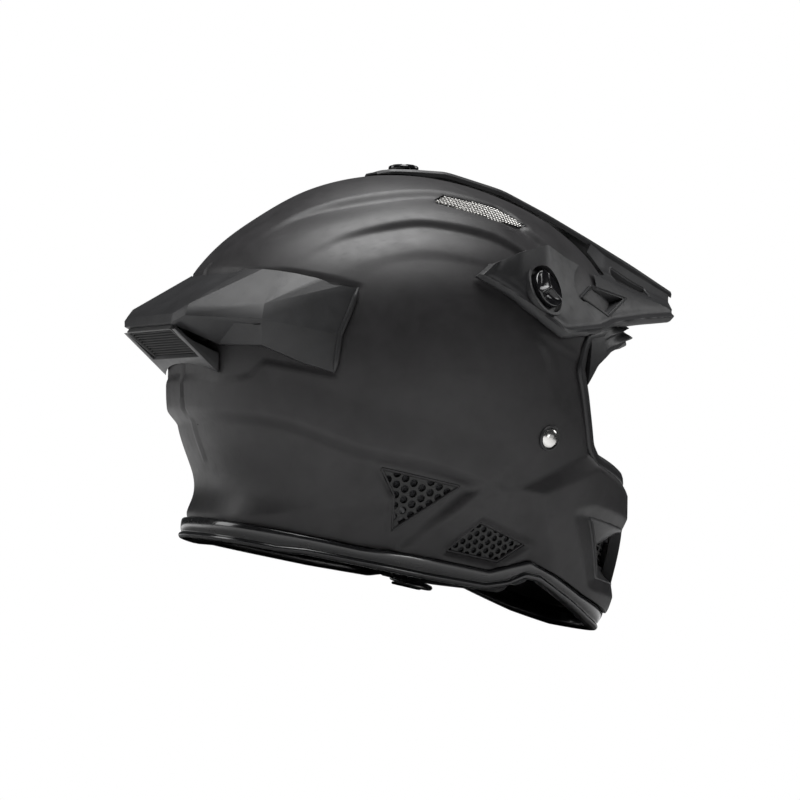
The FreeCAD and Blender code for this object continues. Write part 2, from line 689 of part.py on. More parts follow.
def make_knob(name, seat, axis):
    """A three-lobed screw: pads and a pocket pattern on a PartDesign body."""
    body = doc.addObject("PartDesign::Body", name + "_body")
    disc = sketch_on(body, name + "_disc_outline")
    sized_circle(disc, size("knob_radius"), "sizes.knob_radius")
    head = body.newObject("PartDesign::Pad", name + "_head")
    head.Profile = disc
    head.setExpression("Length", "sizes.knob_height")
    bite = sketch_on(body, name + "_bite_outline")
    draw_circle(bite, 9.0, V(0, 19.0, 0))
    scoop = body.newObject("PartDesign::Pocket", name + "_bite")
    scoop.Profile = bite
    scoop.Type = 1
    scoop.Reversed = True
    doc.recompute()
    if scoop.Shape.Volume >= head.Shape.Volume - 1:
        raise RuntimeError("the knob's bite cuts nothing")
    lobes = body.newObject("PartDesign::PolarPattern", name + "_lobes")
    lobes.Originals = [scoop]
    lobes.Axis = (z_axis(body), [""])
    lobes.Angle = 360
    lobes.Occurrences = 3
    body.Tip = lobes
    doc.recompute()
    add_shank(body, name, KNOB_GAP + size("insert_length") - 1)
    body.Placement = turned_to(seat + axis * KNOB_GAP, axis)
    keep_feature(name, body)


def z_axis(body):
    return [line for line in body.Origin.OriginFeatures if line.Role == "Z_Axis"][0]


def add_shank(body, name, length):
    rod = sketch_on(body, name + "_shank_outline")
    sized_circle(rod, size("shank_radius"), "sizes.shank_radius")
    shank = body.newObject("PartDesign::Pad", name + "_shank")
    shank.Profile = rod
    shank.Length = length
    shank.Reversed = True
    body.Tip = shank


def make_cap(name, seat, axis):
    """The low round screw on the crown, with a driver slot."""
    body = doc.addObject("PartDesign::Body", name + "_body")
    disc = sketch_on(body, name + "_disc_outline")
    sized_circle(disc, size("cap_radius"), "sizes.cap_radius")
    head = body.newObject("PartDesign::Pad", name + "_head")
    head.Profile = disc
    head.setExpression("Length", "sizes.cap_height")
    doc.recompute()
    add_shank(body, name, CAP_GAP + size("insert_length") - 1)
    body.Placement = turned_to(seat + axis * CAP_GAP, axis)
    keep_feature(name, body)


def make_inserts():
    """Threaded metal bushes moulded into the shell, one for each screw."""
    bushes = []
    for name, seat, axis in fixings():
        outer = doc.addObject("Part::Cylinder", name + "_bush")
        outer.setExpression("Radius", "sizes.insert_radius")
        outer.setExpression("Height", "sizes.insert_length")
        bore = doc.addObject("Part::Cylinder", name + "_bush_bore")
        bore.setExpression("Radius", "sizes.shank_radius + sizes.shank_clearance")
        bore.setExpression("Height", "sizes.insert_length")
        bush = doc.addObject("Part::Cut", name + "_bush_ring")
        bush.Base = outer
        bush.Tool = bore
        bush.Placement = turned_to(seat - axis * size("insert_length"), axis)
        bushes.append(bush)
    group = doc.addObject("Part::Compound", "bushes")
    group.Links = bushes
    keep_feature("screw_inserts", group)


# ---------------------------------------------------------------- build and write

make_outer_shell()
make_bottom_edge_trim()
make_eye_port_frame()
make_vents()
make_rear_spoiler()
make_rear_grille()
make_foam()
make_pads()
make_pad_snaps()
make_straps()
make_strap_snap()
make_strap_rivets()
make_d_ring("d_ring_upper", RING_SPACING / 2, RING_TILT)
make_d_ring("d_ring_lower", -RING_SPACING / 2, -RING_TILT)
make_visor()
make_knob("visor_screw_right", *fixings()[0][1:])
make_knob("visor_screw_left", *fixings()[1][1:])
make_cap("visor_screw_top", *fixings()[2][1:])
make_inserts()

# The origin goes under the middle of the whole helmet.
for feature in parts.values():
    shift = FreeCAD.Placement(V(0, size("centre_shift"), 0), FreeCAD.Rotation())
    feature.Placement = shift.multiply(feature.Placement)
doc.recompute()

os.makedirs("parts", exist_ok=True)
for item in doc.Objects:
    if "Invalid" in item.State or "Error" in item.State:
        raise RuntimeError(f"{item.Label} failed: {item.State}")
broken = [name for name, feature in parts.items()
          if feature.Shape.isNull() or not feature.Shape.isValid() or not feature.Shape.Solids]
if broken:
    raise RuntimeError(f"no valid solid: {broken}")
for name, feature in parts.items():
    feature.Shape.exportStep(f"parts/{name}.step")
    bounds = feature.Shape.BoundBox
    print(f"{name:24s} {feature.Shape.Volume / 1000:8.1f} cm3  solids {len(feature.Shape.Solids)}  "
          f"x {bounds.XMin:7.1f} {bounds.XMax:6.1f}  y {bounds.YMin:7.1f} {bounds.YMax:6.1f}  "
          f"z {bounds.ZMin:6.1f} {bounds.ZMax:6.1f}")
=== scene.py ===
# %% [markdown]
# # An off-road helmet, finished in Blender
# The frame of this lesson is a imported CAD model: it knows where every piece of the helmet sits
# and how the visor, its screws and the strap's rings move.  Blender adds what the eye needs:
# moulded relief, rolled edges, woven wire, padded cloth, and finishes with grain and wear.
# Every length is in metres, and every piece is made in the place where it stays.

# %% Load the CAD frame
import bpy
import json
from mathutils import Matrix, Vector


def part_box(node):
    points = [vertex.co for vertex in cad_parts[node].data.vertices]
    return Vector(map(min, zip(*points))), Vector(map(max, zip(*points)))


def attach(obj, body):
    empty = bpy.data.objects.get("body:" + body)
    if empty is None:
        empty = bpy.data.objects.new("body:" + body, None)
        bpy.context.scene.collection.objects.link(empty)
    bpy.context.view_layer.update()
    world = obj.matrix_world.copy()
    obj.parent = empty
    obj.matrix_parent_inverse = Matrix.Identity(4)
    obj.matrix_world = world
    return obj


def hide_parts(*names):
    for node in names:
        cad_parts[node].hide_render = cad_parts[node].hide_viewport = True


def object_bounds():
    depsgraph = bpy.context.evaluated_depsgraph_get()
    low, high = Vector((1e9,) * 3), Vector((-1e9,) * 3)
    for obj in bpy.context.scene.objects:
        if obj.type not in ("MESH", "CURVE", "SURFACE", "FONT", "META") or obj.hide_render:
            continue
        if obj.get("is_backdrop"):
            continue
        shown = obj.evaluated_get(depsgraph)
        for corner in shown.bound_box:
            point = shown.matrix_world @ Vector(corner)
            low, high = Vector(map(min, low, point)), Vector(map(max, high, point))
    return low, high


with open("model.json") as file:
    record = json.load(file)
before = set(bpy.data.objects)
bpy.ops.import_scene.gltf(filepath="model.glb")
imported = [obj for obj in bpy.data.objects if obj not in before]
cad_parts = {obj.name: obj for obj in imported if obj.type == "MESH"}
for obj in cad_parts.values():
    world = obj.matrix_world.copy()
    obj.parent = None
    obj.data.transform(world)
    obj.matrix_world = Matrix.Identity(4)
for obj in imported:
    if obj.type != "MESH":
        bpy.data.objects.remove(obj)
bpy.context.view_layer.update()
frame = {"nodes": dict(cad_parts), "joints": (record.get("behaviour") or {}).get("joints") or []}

# %% [markdown]
# ## Small helpers
# A helmet is mostly surfaces that run round or along something, so nearly every mesh here is
# a grid of points with quads between them.  A few helpers make the grid, turn modifiers into
# real faces, and cut one closed mesh with another.  Numpy works on all the points at once.

# %% Imports and units
import json
import math

import bmesh
import bpy
import numpy as np
from mathutils import Matrix, Vector
from mathutils.bvhtree import BVHTree

MM = 0.001
UP = np.array([0.0, 0.0, 1.0])


def lengths(vectors):
    return np.linalg.norm(vectors, axis=-1, keepdims=True)


def unit(vectors):
    vectors = np.asarray(vectors, float)
    return vectors / np.maximum(lengths(vectors), 1e-12)


def mirror(points):
    return np.asarray(points) * (-1, 1, 1)


def to_side_of(x):
    """Factors that take points of the left half to the side that x is on."""
    return np.where(x < 0, -1, 1)[..., None] * (1, 0, 0) + (0, 1, 1)


def travelled(path):
    """How far along a path each of its points is, in metres."""
    return np.concatenate([[0], np.cumsum(lengths(np.diff(path, axis=0))[:, 0])])


def read_off(places, steps, values):
    """Rows of values at new places, when the old rows stand at steps."""
    return np.stack([np.interp(places, steps, column) for column in np.asarray(values).T], -1)


SIDES = (("left", 1), ("right", -1))      # the wearer's left is plus X


# %% Mesh helpers
def in_scene(name, data):
    """A new object for a mesh, a camera or a light, linked to the scene."""
    thing = bpy.data.objects.new(name, data)
    bpy.context.scene.collection.objects.link(thing)
    return thing


def mesh_piece(name, points, faces):
    """A new mesh object from points and faces, both as plain lists or arrays."""
    mesh = bpy.data.meshes.new(name)
    mesh.from_pydata(np.asarray(points, float).reshape(-1, 3).tolist(), [], faces)
    return in_scene(name, mesh)


def grid_faces(rows, columns, ring=False, closed=False, start=0):
    """Quads of a grid stored row by row; ring joins its columns round, closed its rows."""
    row = np.arange(rows if closed else rows - 1)[:, None]
    column = np.arange(columns if ring else columns - 1)[None, :]
    next_row, after = (row + 1) % rows * columns, (column + 1) % columns
    row = row * columns
    corners = [row + column, row + after, next_row + after, next_row + column]
    return (np.stack(corners, -1).reshape(-1, 4) + start).tolist()


def end_caps(rows, columns):
    """The two faces that close the first and the last ring of a grid."""
    return [list(range(columns))[::-1], list(range((rows - 1) * columns, rows * columns))]


def outward(piece):
    """Turns every face of a closed mesh to look outwards."""
    work = bmesh.new()
    work.from_mesh(piece.data)
    bmesh.ops.recalc_face_normals(work, faces=work.faces)
    work.to_mesh(piece.data)
    work.free()
    return piece


def smooth(piece, edge_angle=32.0):
    """Smooth shading, with edges sharper than the angle left crisp."""
    mesh = piece.data
    mesh.polygons.foreach_set("use_smooth", np.ones(len(mesh.polygons), bool))
    mesh.set_sharp_from_angle(angle=math.radians(edge_angle))
    return piece


def settle(piece, edge_angle=32.0):
    """Turns the piece's modifiers into real faces."""
    graph = bpy.context.evaluated_depsgraph_get()
    made = bpy.data.meshes.new_from_object(piece.evaluated_get(graph))
    piece.modifiers.clear()
    piece.data = made
    return smooth(piece, edge_angle)


def modify(piece, kind, **settings):
    modifier = piece.modifiers.new(kind.lower(), kind)
    for key, value in settings.items():
        setattr(modifier, key, value)
    return modifier


def cut(piece, *tools, operation="DIFFERENCE"):
    """Cuts a closed mesh with closed tools, which are then thrown away."""
    for tool in tools:
        modify(piece, "BOOLEAN", object=tool, operation=operation, solver="MANIFOLD")
    settle(piece)
    for tool in tools:
        bpy.data.objects.remove(tool)
    return piece


def soften(piece, width, segments=2, angle=28.0):
    """Rounds the edges of a hard-surface mesh, then settles it."""
    modify(piece, "BEVEL", width=width, segments=segments, limit_method="ANGLE",
           angle_limit=math.radians(angle), use_clamp_overlap=True)
    return settle(piece, 40.0)


def joined(name, *pieces):
    """Several meshes as one object."""
    work = bmesh.new()
    for piece in pieces:
        work.from_mesh(piece.data)
        bpy.data.objects.remove(piece)
    mesh = bpy.data.meshes.new(name)
    work.to_mesh(mesh)
    work.free()
    return smooth(in_scene(name, mesh))


FINISH = {}        # the material of each slot in the record


def dress(piece, slot, body, *nodes):
    """Gives a finished piece the material of its slot and its body, and hides the CAD it stands for."""
    piece.data.materials.clear()
    piece.data.materials.append(FINISH[slot])
    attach(piece, body)
    if nodes:
        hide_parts(*nodes)
    print(f"{piece.name}: {len(piece.data.polygons)} faces on {body}")
    return piece


# %% [markdown]
# ## Camera, light and floor
# The helmet is seen from behind and to its right, a little from below, through a long lens.
# The stage is what a catalogue uses: white all round and soft boxes.  A matte black object is
# drawn by what it reflects, so the big box overhead grades the crown from light to dark, and
# two low boxes at the side put a short white flash and a softer glow on the glossy rubber edge.

# %% Camera
VIEW_TARGET = Vector((0, -0.003, 0.126))
VIEW_DISTANCE = 1.8
VIEW_TURN = math.radians(27.0)       # from the helmet's right side towards its back
VIEW_NOD = math.radians(13.4)        # how far the helmet's nose tips down in the view
VIEW_DROP = math.radians(-0.5)       # how far the camera stands above the helmet's level
LENS, SENSOR = 116.64, 36.0          # both in millimetres, as Blender's camera wants them

ahead = Vector((0, -math.cos(VIEW_NOD), math.sin(VIEW_NOD)))
overhead = Vector((0, math.sin(VIEW_NOD), math.cos(VIEW_NOD)))
rightward = Vector((-1, 0, 0))
aside = math.cos(VIEW_TURN) * rightward - math.sin(VIEW_TURN) * ahead
view_line = math.cos(VIEW_DROP) * aside + math.sin(VIEW_DROP) * overhead

camera = in_scene("camera", bpy.data.cameras.new("camera"))
camera.data.sensor_width = SENSOR
camera.data.lens = LENS
camera.data.clip_end = 50.0
view_right = (-view_line).cross(overhead).normalized()
view_up = view_right.cross(-view_line)
turn = Matrix((view_right, view_up, view_line)).transposed()
camera.matrix_world = Matrix.Translation(VIEW_TARGET + VIEW_DISTANCE * view_line) @ turn.to_4x4()
bpy.context.scene.camera = camera
bpy.context.scene.view_settings.view_transform = "Standard"
print("camera at", [round(v, 3) for v in camera.matrix_world.translation])


# %% Lights
def soft_box(name, place, target, width, height, watts):
    """A rectangular area light at place, facing target."""
    data = bpy.data.lights.new(name, "AREA")
    data.shape = "RECTANGLE"
    data.size, data.size_y = width, height
    data.energy = watts
    box = in_scene(name, data)
    box.location = place
    box.rotation_euler = (Vector(target) - Vector(place)).to_track_quat("-Z", "Y").to_euler()
    box.visible_camera = False
    return box


HELMET_MIDDLE = (0, 0, 0.15)
EDGE_MIDDLE, EDGE_FRONT = (-0.11, 0.01, 0.011), (-0.1, -0.08, 0.02)
soft_box("overhead_box", (-0.1, 0.3, 1.55), HELMET_MIDDLE, width=1.2, height=1.2, watts=33.0)
soft_box("front_box", (-0.1, -1.6, 1.15), HELMET_MIDDLE, width=0.8, height=0.6, watts=3.5)
soft_box("rear_box", (1.0, 1.6, 0.6), HELMET_MIDDLE, width=0.8, height=1.0, watts=6.0)
soft_box("edge_flash", (-1.55, -0.64, 0.06), EDGE_MIDDLE, width=0.24, height=0.5, watts=1.8)
soft_box("edge_glow", (-1.2, -1.2, 0.10), EDGE_FRONT, width=0.9, height=0.5, watts=0.5)
print("lights:", len(bpy.data.lights))


# %% World: white to the eye, dimmer as a light
def add_node(tree, kind, **settings):
    """A node with attributes by name; inputs are set by a dict called inputs."""
    inputs = settings.pop("inputs", {})
    node = tree.nodes.new(kind)
    for key, value in settings.items():
        setattr(node, key, value)
    for key, value in inputs.items():
        node.inputs[key].default_value = value
    return node


world = bpy.data.worlds.new("white_room")
bpy.context.scene.world = world
world.use_nodes = True
room = world.node_tree
room.nodes.clear()
seen = add_node(room, "ShaderNodeBackground", inputs={"Color": (1, 1, 1, 1), "Strength": 1.0})
lit = add_node(room, "ShaderNodeBackground", inputs={"Color": (0.95, 0.97, 1, 1), "Strength": 0.035})
path = add_node(room, "ShaderNodeLightPath")
choice = add_node(room, "ShaderNodeMixShader")
room_out = add_node(room, "ShaderNodeOutputWorld")
room.links.new(path.outputs["Is Camera Ray"], choice.inputs[0])
room.links.new(lit.outputs[0], choice.inputs[1])
room.links.new(seen.outputs[0], choice.inputs[2])
room.links.new(choice.outputs[0], room_out.inputs[0])


# %% Floor, which is clear from below
def floor_finish():
    """Pale matte paint on the upper side; nothing at all on the lower side."""
    finish = bpy.data.materials.new("studio_floor")
    finish.use_nodes = True
    tree = finish.node_tree
    paint = tree.nodes["Principled BSDF"]
    paint.inputs["Base Color"].default_value = (0.86, 0.86, 0.86, 1)
    paint.inputs["Roughness"].default_value = 0.9
    clear = add_node(tree, "ShaderNodeBsdfTransparent")
    sides = add_node(tree, "ShaderNodeNewGeometry")
    mix = add_node(tree, "ShaderNodeMixShader")
    tree.links.new(sides.outputs["Backfacing"], mix.inputs[0])
    tree.links.new(paint.outputs[0], mix.inputs[1])
    tree.links.new(clear.outputs[0], mix.inputs[2])
    tree.links.new(mix.outputs[0], tree.nodes["Material Output"].inputs[0])
    return finish


FLOOR_HALF = 6.0
floor_corners = np.array([(-1, -1, 0), (1, -1, 0), (1, 1, 0), (-1, 1, 0)]) * FLOOR_HALF
floor = mesh_piece("floor", floor_corners, [(0, 1, 2, 3)])
floor.data.materials.append(floor_finish())
floor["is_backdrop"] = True

# %% [markdown]
# ## Finishes
# Nearly all of the helmet is black, so the finishes differ in grain and gloss, not in colour:
# matte lacquer on the shell, a satin skin on the visor, shiny rubber on the edge, bare metal
# on rings and rivets.  Each recipe layers a slow mottle in the colour, a finer change in the
# roughness and a grain in the bump.  Coordinates are the object's own, in metres, so a grain
# of a tenth of a millimetre stays that size on every piece.


# %% Small parts that every recipe uses
def ranged(tree, value, low, high, from_low=0.0, from_high=1.0):
    """A value moved from one range to another."""
    span = add_node(tree, "ShaderNodeMapRange",
                    inputs={"From Min": from_low, "From Max": from_high, "To Min": low, "To Max": high})
    tree.links.new(value, span.inputs["Value"])
    return span.outputs["Result"]


def tinted(tree, factor, dark, light, surface):
    """Mixes two colours by a factor into the surface's base colour."""
    tint = add_node(tree, "ShaderNodeMix", data_type="RGBA")
    tint.inputs[6].default_value = (*dark, 1)         # A of the colour mix
    tint.inputs[7].default_value = (*light, 1)        # B of the colour mix
    tree.links.new(factor, tint.inputs[0])
    tree.links.new(tint.outputs[2], surface.inputs["Base Color"])


def bumped(tree, height, strength, distance, under=None):
    """A relief in the normal, laid over another relief where there is one."""
    bump = add_node(tree, "ShaderNodeBump", inputs={"Strength": strength, "Distance": distance})
    tree.links.new(height, bump.inputs["Height"])
    if under is not None:
        tree.links.new(under, bump.inputs["Normal"])
    return bump.outputs[0]


# %% One recipe for moulded and painted surfaces
def moulded(name, colour, roughness, grain_mm, grain_depth, mottle=0.25, coat=0.0, metal=0.0, streak=0.0):
    """A Principled finish with mottled colour, uneven gloss, grain, and fine scuffs."""
    finish = bpy.data.materials.new(name)
    finish.use_nodes = True
    tree = finish.node_tree
    surface = tree.nodes["Principled BSDF"]
    place = add_node(tree, "ShaderNodeTexCoord").outputs["Object"]

    def noise(size_mm, detail, rough=0.55, stretch=None):
        texture = add_node(tree, "ShaderNodeTexNoise",
                           inputs={"Scale": 1000.0 / size_mm, "Detail": detail, "Roughness": rough})
        source = place
        if stretch:
            mapping = add_node(tree, "ShaderNodeMapping", inputs={"Scale": stretch})
            tree.links.new(place, mapping.inputs[0])
            source = mapping.outputs[0]
        tree.links.new(source, texture.inputs["Vector"])
        return texture.outputs["Fac"]

    dark = [c * (1 - mottle) for c in colour]
    light = [min(c * (1 + mottle), 1.0) for c in colour]
    tinted(tree, ranged(tree, noise(22.0, 5.0), 0.0, 1.0, 0.3, 0.7), dark, light, surface)

    cloudy = ranged(tree, noise(9.0, 4.0), roughness - 0.035, roughness + 0.035, 0.3, 0.7)
    if streak:
        scuff = ranged(tree, noise(1.6, 2.0, 0.4, (1.0, 0.07, 0.35)), 0.0, streak, 0.60, 0.72)
        total = add_node(tree, "ShaderNodeMath", operation="ADD")
        tree.links.new(cloudy, total.inputs[0])
        tree.links.new(scuff, total.inputs[1])
        cloudy = total.outputs[0]
    tree.links.new(cloudy, surface.inputs["Roughness"])

    slow = bumped(tree, noise(grain_mm * 9, 2.0), 0.35, grain_depth * 2 * MM)
    fine = bumped(tree, noise(grain_mm, 3.0), 0.5, grain_depth * MM, slow)
    tree.links.new(fine, surface.inputs["Normal"])
    surface.inputs["Metallic"].default_value = metal
    surface.inputs["Coat Weight"].default_value = coat
    surface.inputs["Coat Roughness"].default_value = 0.12
    return finish


SHELL_GREY, VISOR_GREY, TRIM_GREY = (0.017, 0.016, 0.017), (0.016, 0.016, 0.017), (0.014, 0.014, 0.015)
BRASS = (0.62, 0.42, 0.16)
FINISH.update(
    shell_black=moulded("matte_shell_lacquer", SHELL_GREY, 0.47, 0.9, 0.05, streak=0.05),
    visor_black=moulded("satin_visor_plastic", VISOR_GREY, 0.44, 0.7, 0.05, streak=0.05),
    satin_black=moulded("satin_trim_plastic", TRIM_GREY, 0.42, 0.6, 0.05, streak=0.04),
    gloss_rubber=moulded("glossy_edge_rubber", (0.010, 0.010, 0.011), 0.20, 2.4, 0.04, coat=0.9, streak=0.10),
    grille_black=moulded("matte_grille_plastic", (0.012, 0.012, 0.012), 0.52, 0.6, 0.06),
    metal_mesh=moulded("bright_wire", (0.62, 0.61, 0.59), 0.30, 0.5, 0.02, 0.12, metal=1.0),
    snap_plastic=moulded("press_stud_nylon", (0.03, 0.03, 0.032), 0.38, 0.7, 0.03),
    rivet_steel=moulded("polished_rivet_steel", (0.80, 0.79, 0.77), 0.20, 0.8, 0.01, 0.08, metal=1.0),
    ring_steel=moulded("brushed_ring_steel", (0.55, 0.55, 0.54), 0.28, 0.5, 0.02, 0.12, metal=1.0, streak=0.12),
    knob_gloss=moulded("gloss_knob_plastic", (0.008, 0.008, 0.009), 0.11, 1.5, 0.015, coat=0.4),
    bush_brass=moulded("turned_bush_brass", BRASS, 0.30, 0.5, 0.02, 0.15, metal=1.0, streak=0.1),
)
print("moulded finishes:", len(bpy.data.materials))

# %% [markdown]
# ## The helmet's form
# The shell is one smooth egg that grows squarer at the neck.  It is described by level
# sections: for each height, how far it reaches back, forward and sideways, and how square the
# curve is there.  A Catmull-Rom curve runs from section to section, so a point on the form
# needs only two numbers: v, how far up the sections, and turn, the angle round them.  Trim,
# vents, rivets and liner all ask the same form where they are, so they always fit.

# %% Sections of the shell
SHELL_HEIGHT, SHELL_HALF_WIDTH, SHELL_REAR, SHELL_FRONT = 0.281, 0.124, 0.167, 0.192
SHELL_WALL = 3.5 * MM
CENTRE_SHIFT = -2 * MM        # the CAD model moves everything by this much along Y

# Height, rear reach, front reach and half width in percent of those sizes, the Y of the widest
# place in millimetres, and the squareness of the rear and of the front.
SECTIONS = np.array([
    (-10.7, 74.9, 94.5, 71.0, 11, 2.60, 2.05),
    (0.7, 74.9, 95.0, 72.6, 11, 2.60, 2.05),
    (6.4, 75.4, 97.2, 75.0, 11, 2.60, 2.05),
    (13.5, 76.0, 97.8, 79.8, 11, 2.50, 2.05),
    (24.9, 88.0, 96.8, 87.9, 13, 2.40, 2.05),
    (36.7, 96.4, 92.1, 95.2, 13, 2.30, 2.05),
    (48.0, 100.0, 89.1, 100.0, 11, 2.20, 2.00),
    (59.4, 98.2, 85.9, 100.0, 8, 2.15, 2.00),
    (70.5, 89.2, 81.3, 95.2, 5, 2.10, 2.00),
    (80.8, 74.3, 73.4, 83.9, 1, 2.05, 2.00),
    (89.3, 58.1, 61.5, 67.7, -3, 2.00, 2.00),
    (95.4, 38.9, 45.3, 46.8, -5, 2.00, 2.00),
    (98.9, 18.6, 25.5, 24.2, -7, 2.00, 2.00),
    (100.0, -5.4, 6.8, 1.6, -11, 2.00, 2.00),
])
ROWS = SECTIONS * (SHELL_HEIGHT / 100, SHELL_REAR / 100, -SHELL_FRONT / 100, SHELL_HALF_WIDTH / 100, MM, 1, 1)
TOP_V = len(ROWS) - 1.0


def between(a, b, c, d, share):
    """The Catmull-Rom curve from b to c at a share of the way, with a and d as its neighbours."""
    curve = c - a + share * (2 * a - 5 * b + 4 * c - d + share * (3 * (b - c) + d - a))
    return b + 0.5 * share * curve


def section_at(v):
    """Height, rear, front, half width, widest place and both powers at v, on a smooth curve."""
    v = np.clip(np.asarray(v, float), 0, TOP_V)
    low = np.minimum(v.astype(int), len(ROWS) - 2)
    share = (v - low)[..., None]
    neighbours = (ROWS[np.clip(low + k, 0, len(ROWS) - 1)] for k in (-1, 0, 1, 2))
    return np.moveaxis(between(*neighbours, share), -1, 0)


def form_point(v, turn):
    """The point of the form at v and turn; turn 0 is the wearer's left, a quarter turn the rear."""
    z, rear, front, half, widest, rear_power, front_power = section_at(v)
    across, along = np.cos(turn), np.sin(turn)
    power = np.where(along > 0, rear_power, front_power)
    reach = np.where(along > 0, rear - widest, widest - front)
    x = half * np.sign(across) * np.abs(across) ** (2 / power)
    y = widest + reach * np.sign(along) * np.abs(along) ** (2 / power) + CENTRE_SHIFT
    return np.stack(np.broadcast_arrays(x, y, z), -1)


def form_normal(v, turn):
    step = 2e-3
    round_it = form_point(v, turn + step) - form_point(v, turn - step)
    up_it = form_point(np.add(v, step), turn) - form_point(np.subtract(v, step), turn)
    return unit(np.cross(round_it, up_it))


DENSE_V = np.linspace(0, TOP_V, 1301)
DENSE_Z = section_at(DENSE_V)[0]


def level(z):
    """The v of a height."""
    return np.interp(z, DENSE_Z, DENSE_V)


def from_side(y, z):
    """v and turn of the point on the wearer's left half that a side view shows at (y, z)."""
    v = level(z)
    _, rear, front, _, widest, rear_power, front_power = section_at(v)
    offset = np.asarray(y, float) - CENTRE_SHIFT - widest
    reach = np.where(offset > 0, rear - widest, widest - front)
    power = np.where(offset > 0, rear_power, front_power)
    return v, np.arcsin(np.sign(offset) * np.clip(np.abs(offset) / reach, 0, 1) ** (power / 2))


def from_front(x, z):
    """v and turn of the point that a front view shows at (x, z)."""
    v = level(z)
    _, _, _, half, _, _, power = section_at(v)
    return v, -np.arccos(np.clip(np.asarray(x, float) / half, -1, 1))


print("form height and reach, metres:", form_point(TOP_V, 0.0).round(3), form_point(6.0, 1.5708).round(3))


# %% Outlines, drawn as a side view sees them
def side_outline(points):
    """Side-view points (y, z) in the CAD model's millimetres, as metres in the frame."""
    return np.array(points, float) * MM + (CENTRE_SHIFT, 0)


FAR = 260                     # past the helmet on every side
RIM = side_outline([(-FAR, 0), (-172, 0), (-150, 4), (-121, 12), (-90, 20.5), (-77, 20), (-64, 12), (-47, 6.5),
                    (0, 4), (82, 2), (98, 0), (FAR, 0)])
TRIM_TOP = side_outline([(-FAR, 14), (-173, 14.5), (-134, 21), (-102, 29), (-78, 33), (-48, 20), (15, 18),
                         (49, 15), (109, 14.5), (FAR, 16)])
EYE_PORT = side_outline([(-77, 190), (-240, 260), (-240, 99), (-170, 101), (-111, 106), (-100, 113.5),
                         (-89, 133), (-82, 146), (-72, 163), (-73, 180)])
BROW_EDGE = side_outline([(-FAR, 214), (-130, 197), (-106, 183.5), (-92, 170), (-85, 156), (-82, 150)])
JAW_VENT = side_outline([(53, 66), (-6, 67), (31, 29), (38, 51)])
CHEEK_VENT = side_outline([(-12, 25), (-30, 48), (-71, 42), (-54, 26)])
CROWN_VENT = side_outline([(38, 254), (30, 260), (-8, 261.5), (-30, 254), (-2, 251.5)])
SPOILER_SEAT = side_outline([(96, 177), (128, 179), (170, 173), (FAR, 172), (FAR, 104), (150, 103), (143, 108),
                             (139, 118), (100, 118), (102, 143)])
MOUTH_VENT = np.array([(-84, 72), (84, 72), (62, 34), (-62, 34)]) * MM


def follow(line, turn):
    """v where the form meets a side-view line at each turn, found by stepping closer and closer."""
    v = np.full_like(turn, level(0.05))
    for _ in range(40):
        v = level(np.interp(form_point(v, turn)[..., 1], line[:, 0], line[:, 1]))
    return v


def outline_distance(y, z, outline):
    """Distance to a closed outline, below zero inside it."""
    point = np.stack([y, z], -1)
    best, inside = np.full(y.shape, 9.0), np.zeros(y.shape, bool)
    for start, end in zip(outline, np.roll(outline, -1, 0)):
        edge = end - start
        share = np.clip(((point - start) @ edge) / (edge @ edge), 0, 1)
        best = np.minimum(best, np.linalg.norm(point - start - share[..., None] * edge, axis=-1))
        crosses = (start[1] > z) != (end[1] > z)
        slope = (z - start[1]) / (edge[1] if abs(edge[1]) > 1e-9 else 1e-9)
        inside ^= crosses & (y < start[0] + slope * edge[0])
    return np.where(inside, -best, best)


# %% [markdown]
# ## Relief in the shell
# A real shell is pressed in a steel mould, and the sculpted look comes from shallow steps: three
# terraces that sweep over the crown, a long blade along the jaw, and a raised chin block.  One
# could sculpt them by hand, but a field of heights is exact and easy to change.  Each feature is
# a curve drawn on the form; for every point of the shell the distance to that curve says how
# far to push it in or out along its normal.

# %% Curves on the form and the distance to them
def ramp(distance, width):
    """Rises from 0 to 1 over width, nearly straight but with rounded ends."""
    share = np.clip(distance / width, 0, 1)
    return 0.55 * share + 0.45 * share * share * (3 - 2 * share)


def drawn(points, smooth_line=True, steps=10):
    """Side-view points as a curve on the form, from the rear forwards."""
    corners = side_outline(points)
    if not smooth_line:
        share = np.linspace(0, len(corners) - 1, steps * (len(corners) - 1) + 1)
        line = read_off(share, range(len(corners)), corners)
        return form_point(*from_side(line[:, 0], line[:, 1]))
    ends = np.vstack([2 * corners[0] - corners[1], corners, 2 * corners[-1] - corners[-2]])
    line = []
    for a, b, c, d in zip(ends, ends[1:], ends[2:], ends[3:]):
        for t in np.arange(steps) / steps:
            line.append(between(a, b, c, d, t))
    line = np.array(line + [corners[-1]])
    return form_point(*from_side(line[:, 0], line[:, 1]))


def beside(points, normals, curve):
    """Signed distance to a curve, and how far along it: plus is below a curve drawn forwards."""
    best = np.full(len(points), 9.0)
    signed, along = np.zeros(len(points)), np.zeros(len(points))
    for index, (start, end) in enumerate(zip(curve, curve[1:])):
        edge = end - start
        share = np.clip(((points - start) @ edge) / (edge @ edge), 0, 1)
        away = points - start - share[:, None] * edge
        distance = np.linalg.norm(away, axis=1)
        side = np.sign((np.cross(normals, edge) * away).sum(1))
        nearer = distance < best
        best = np.where(nearer, distance, best)
        signed = np.where(nearer, distance * side, signed)
        along = np.where(nearer, (index + share) / (len(curve) - 1), along)
    return signed, along


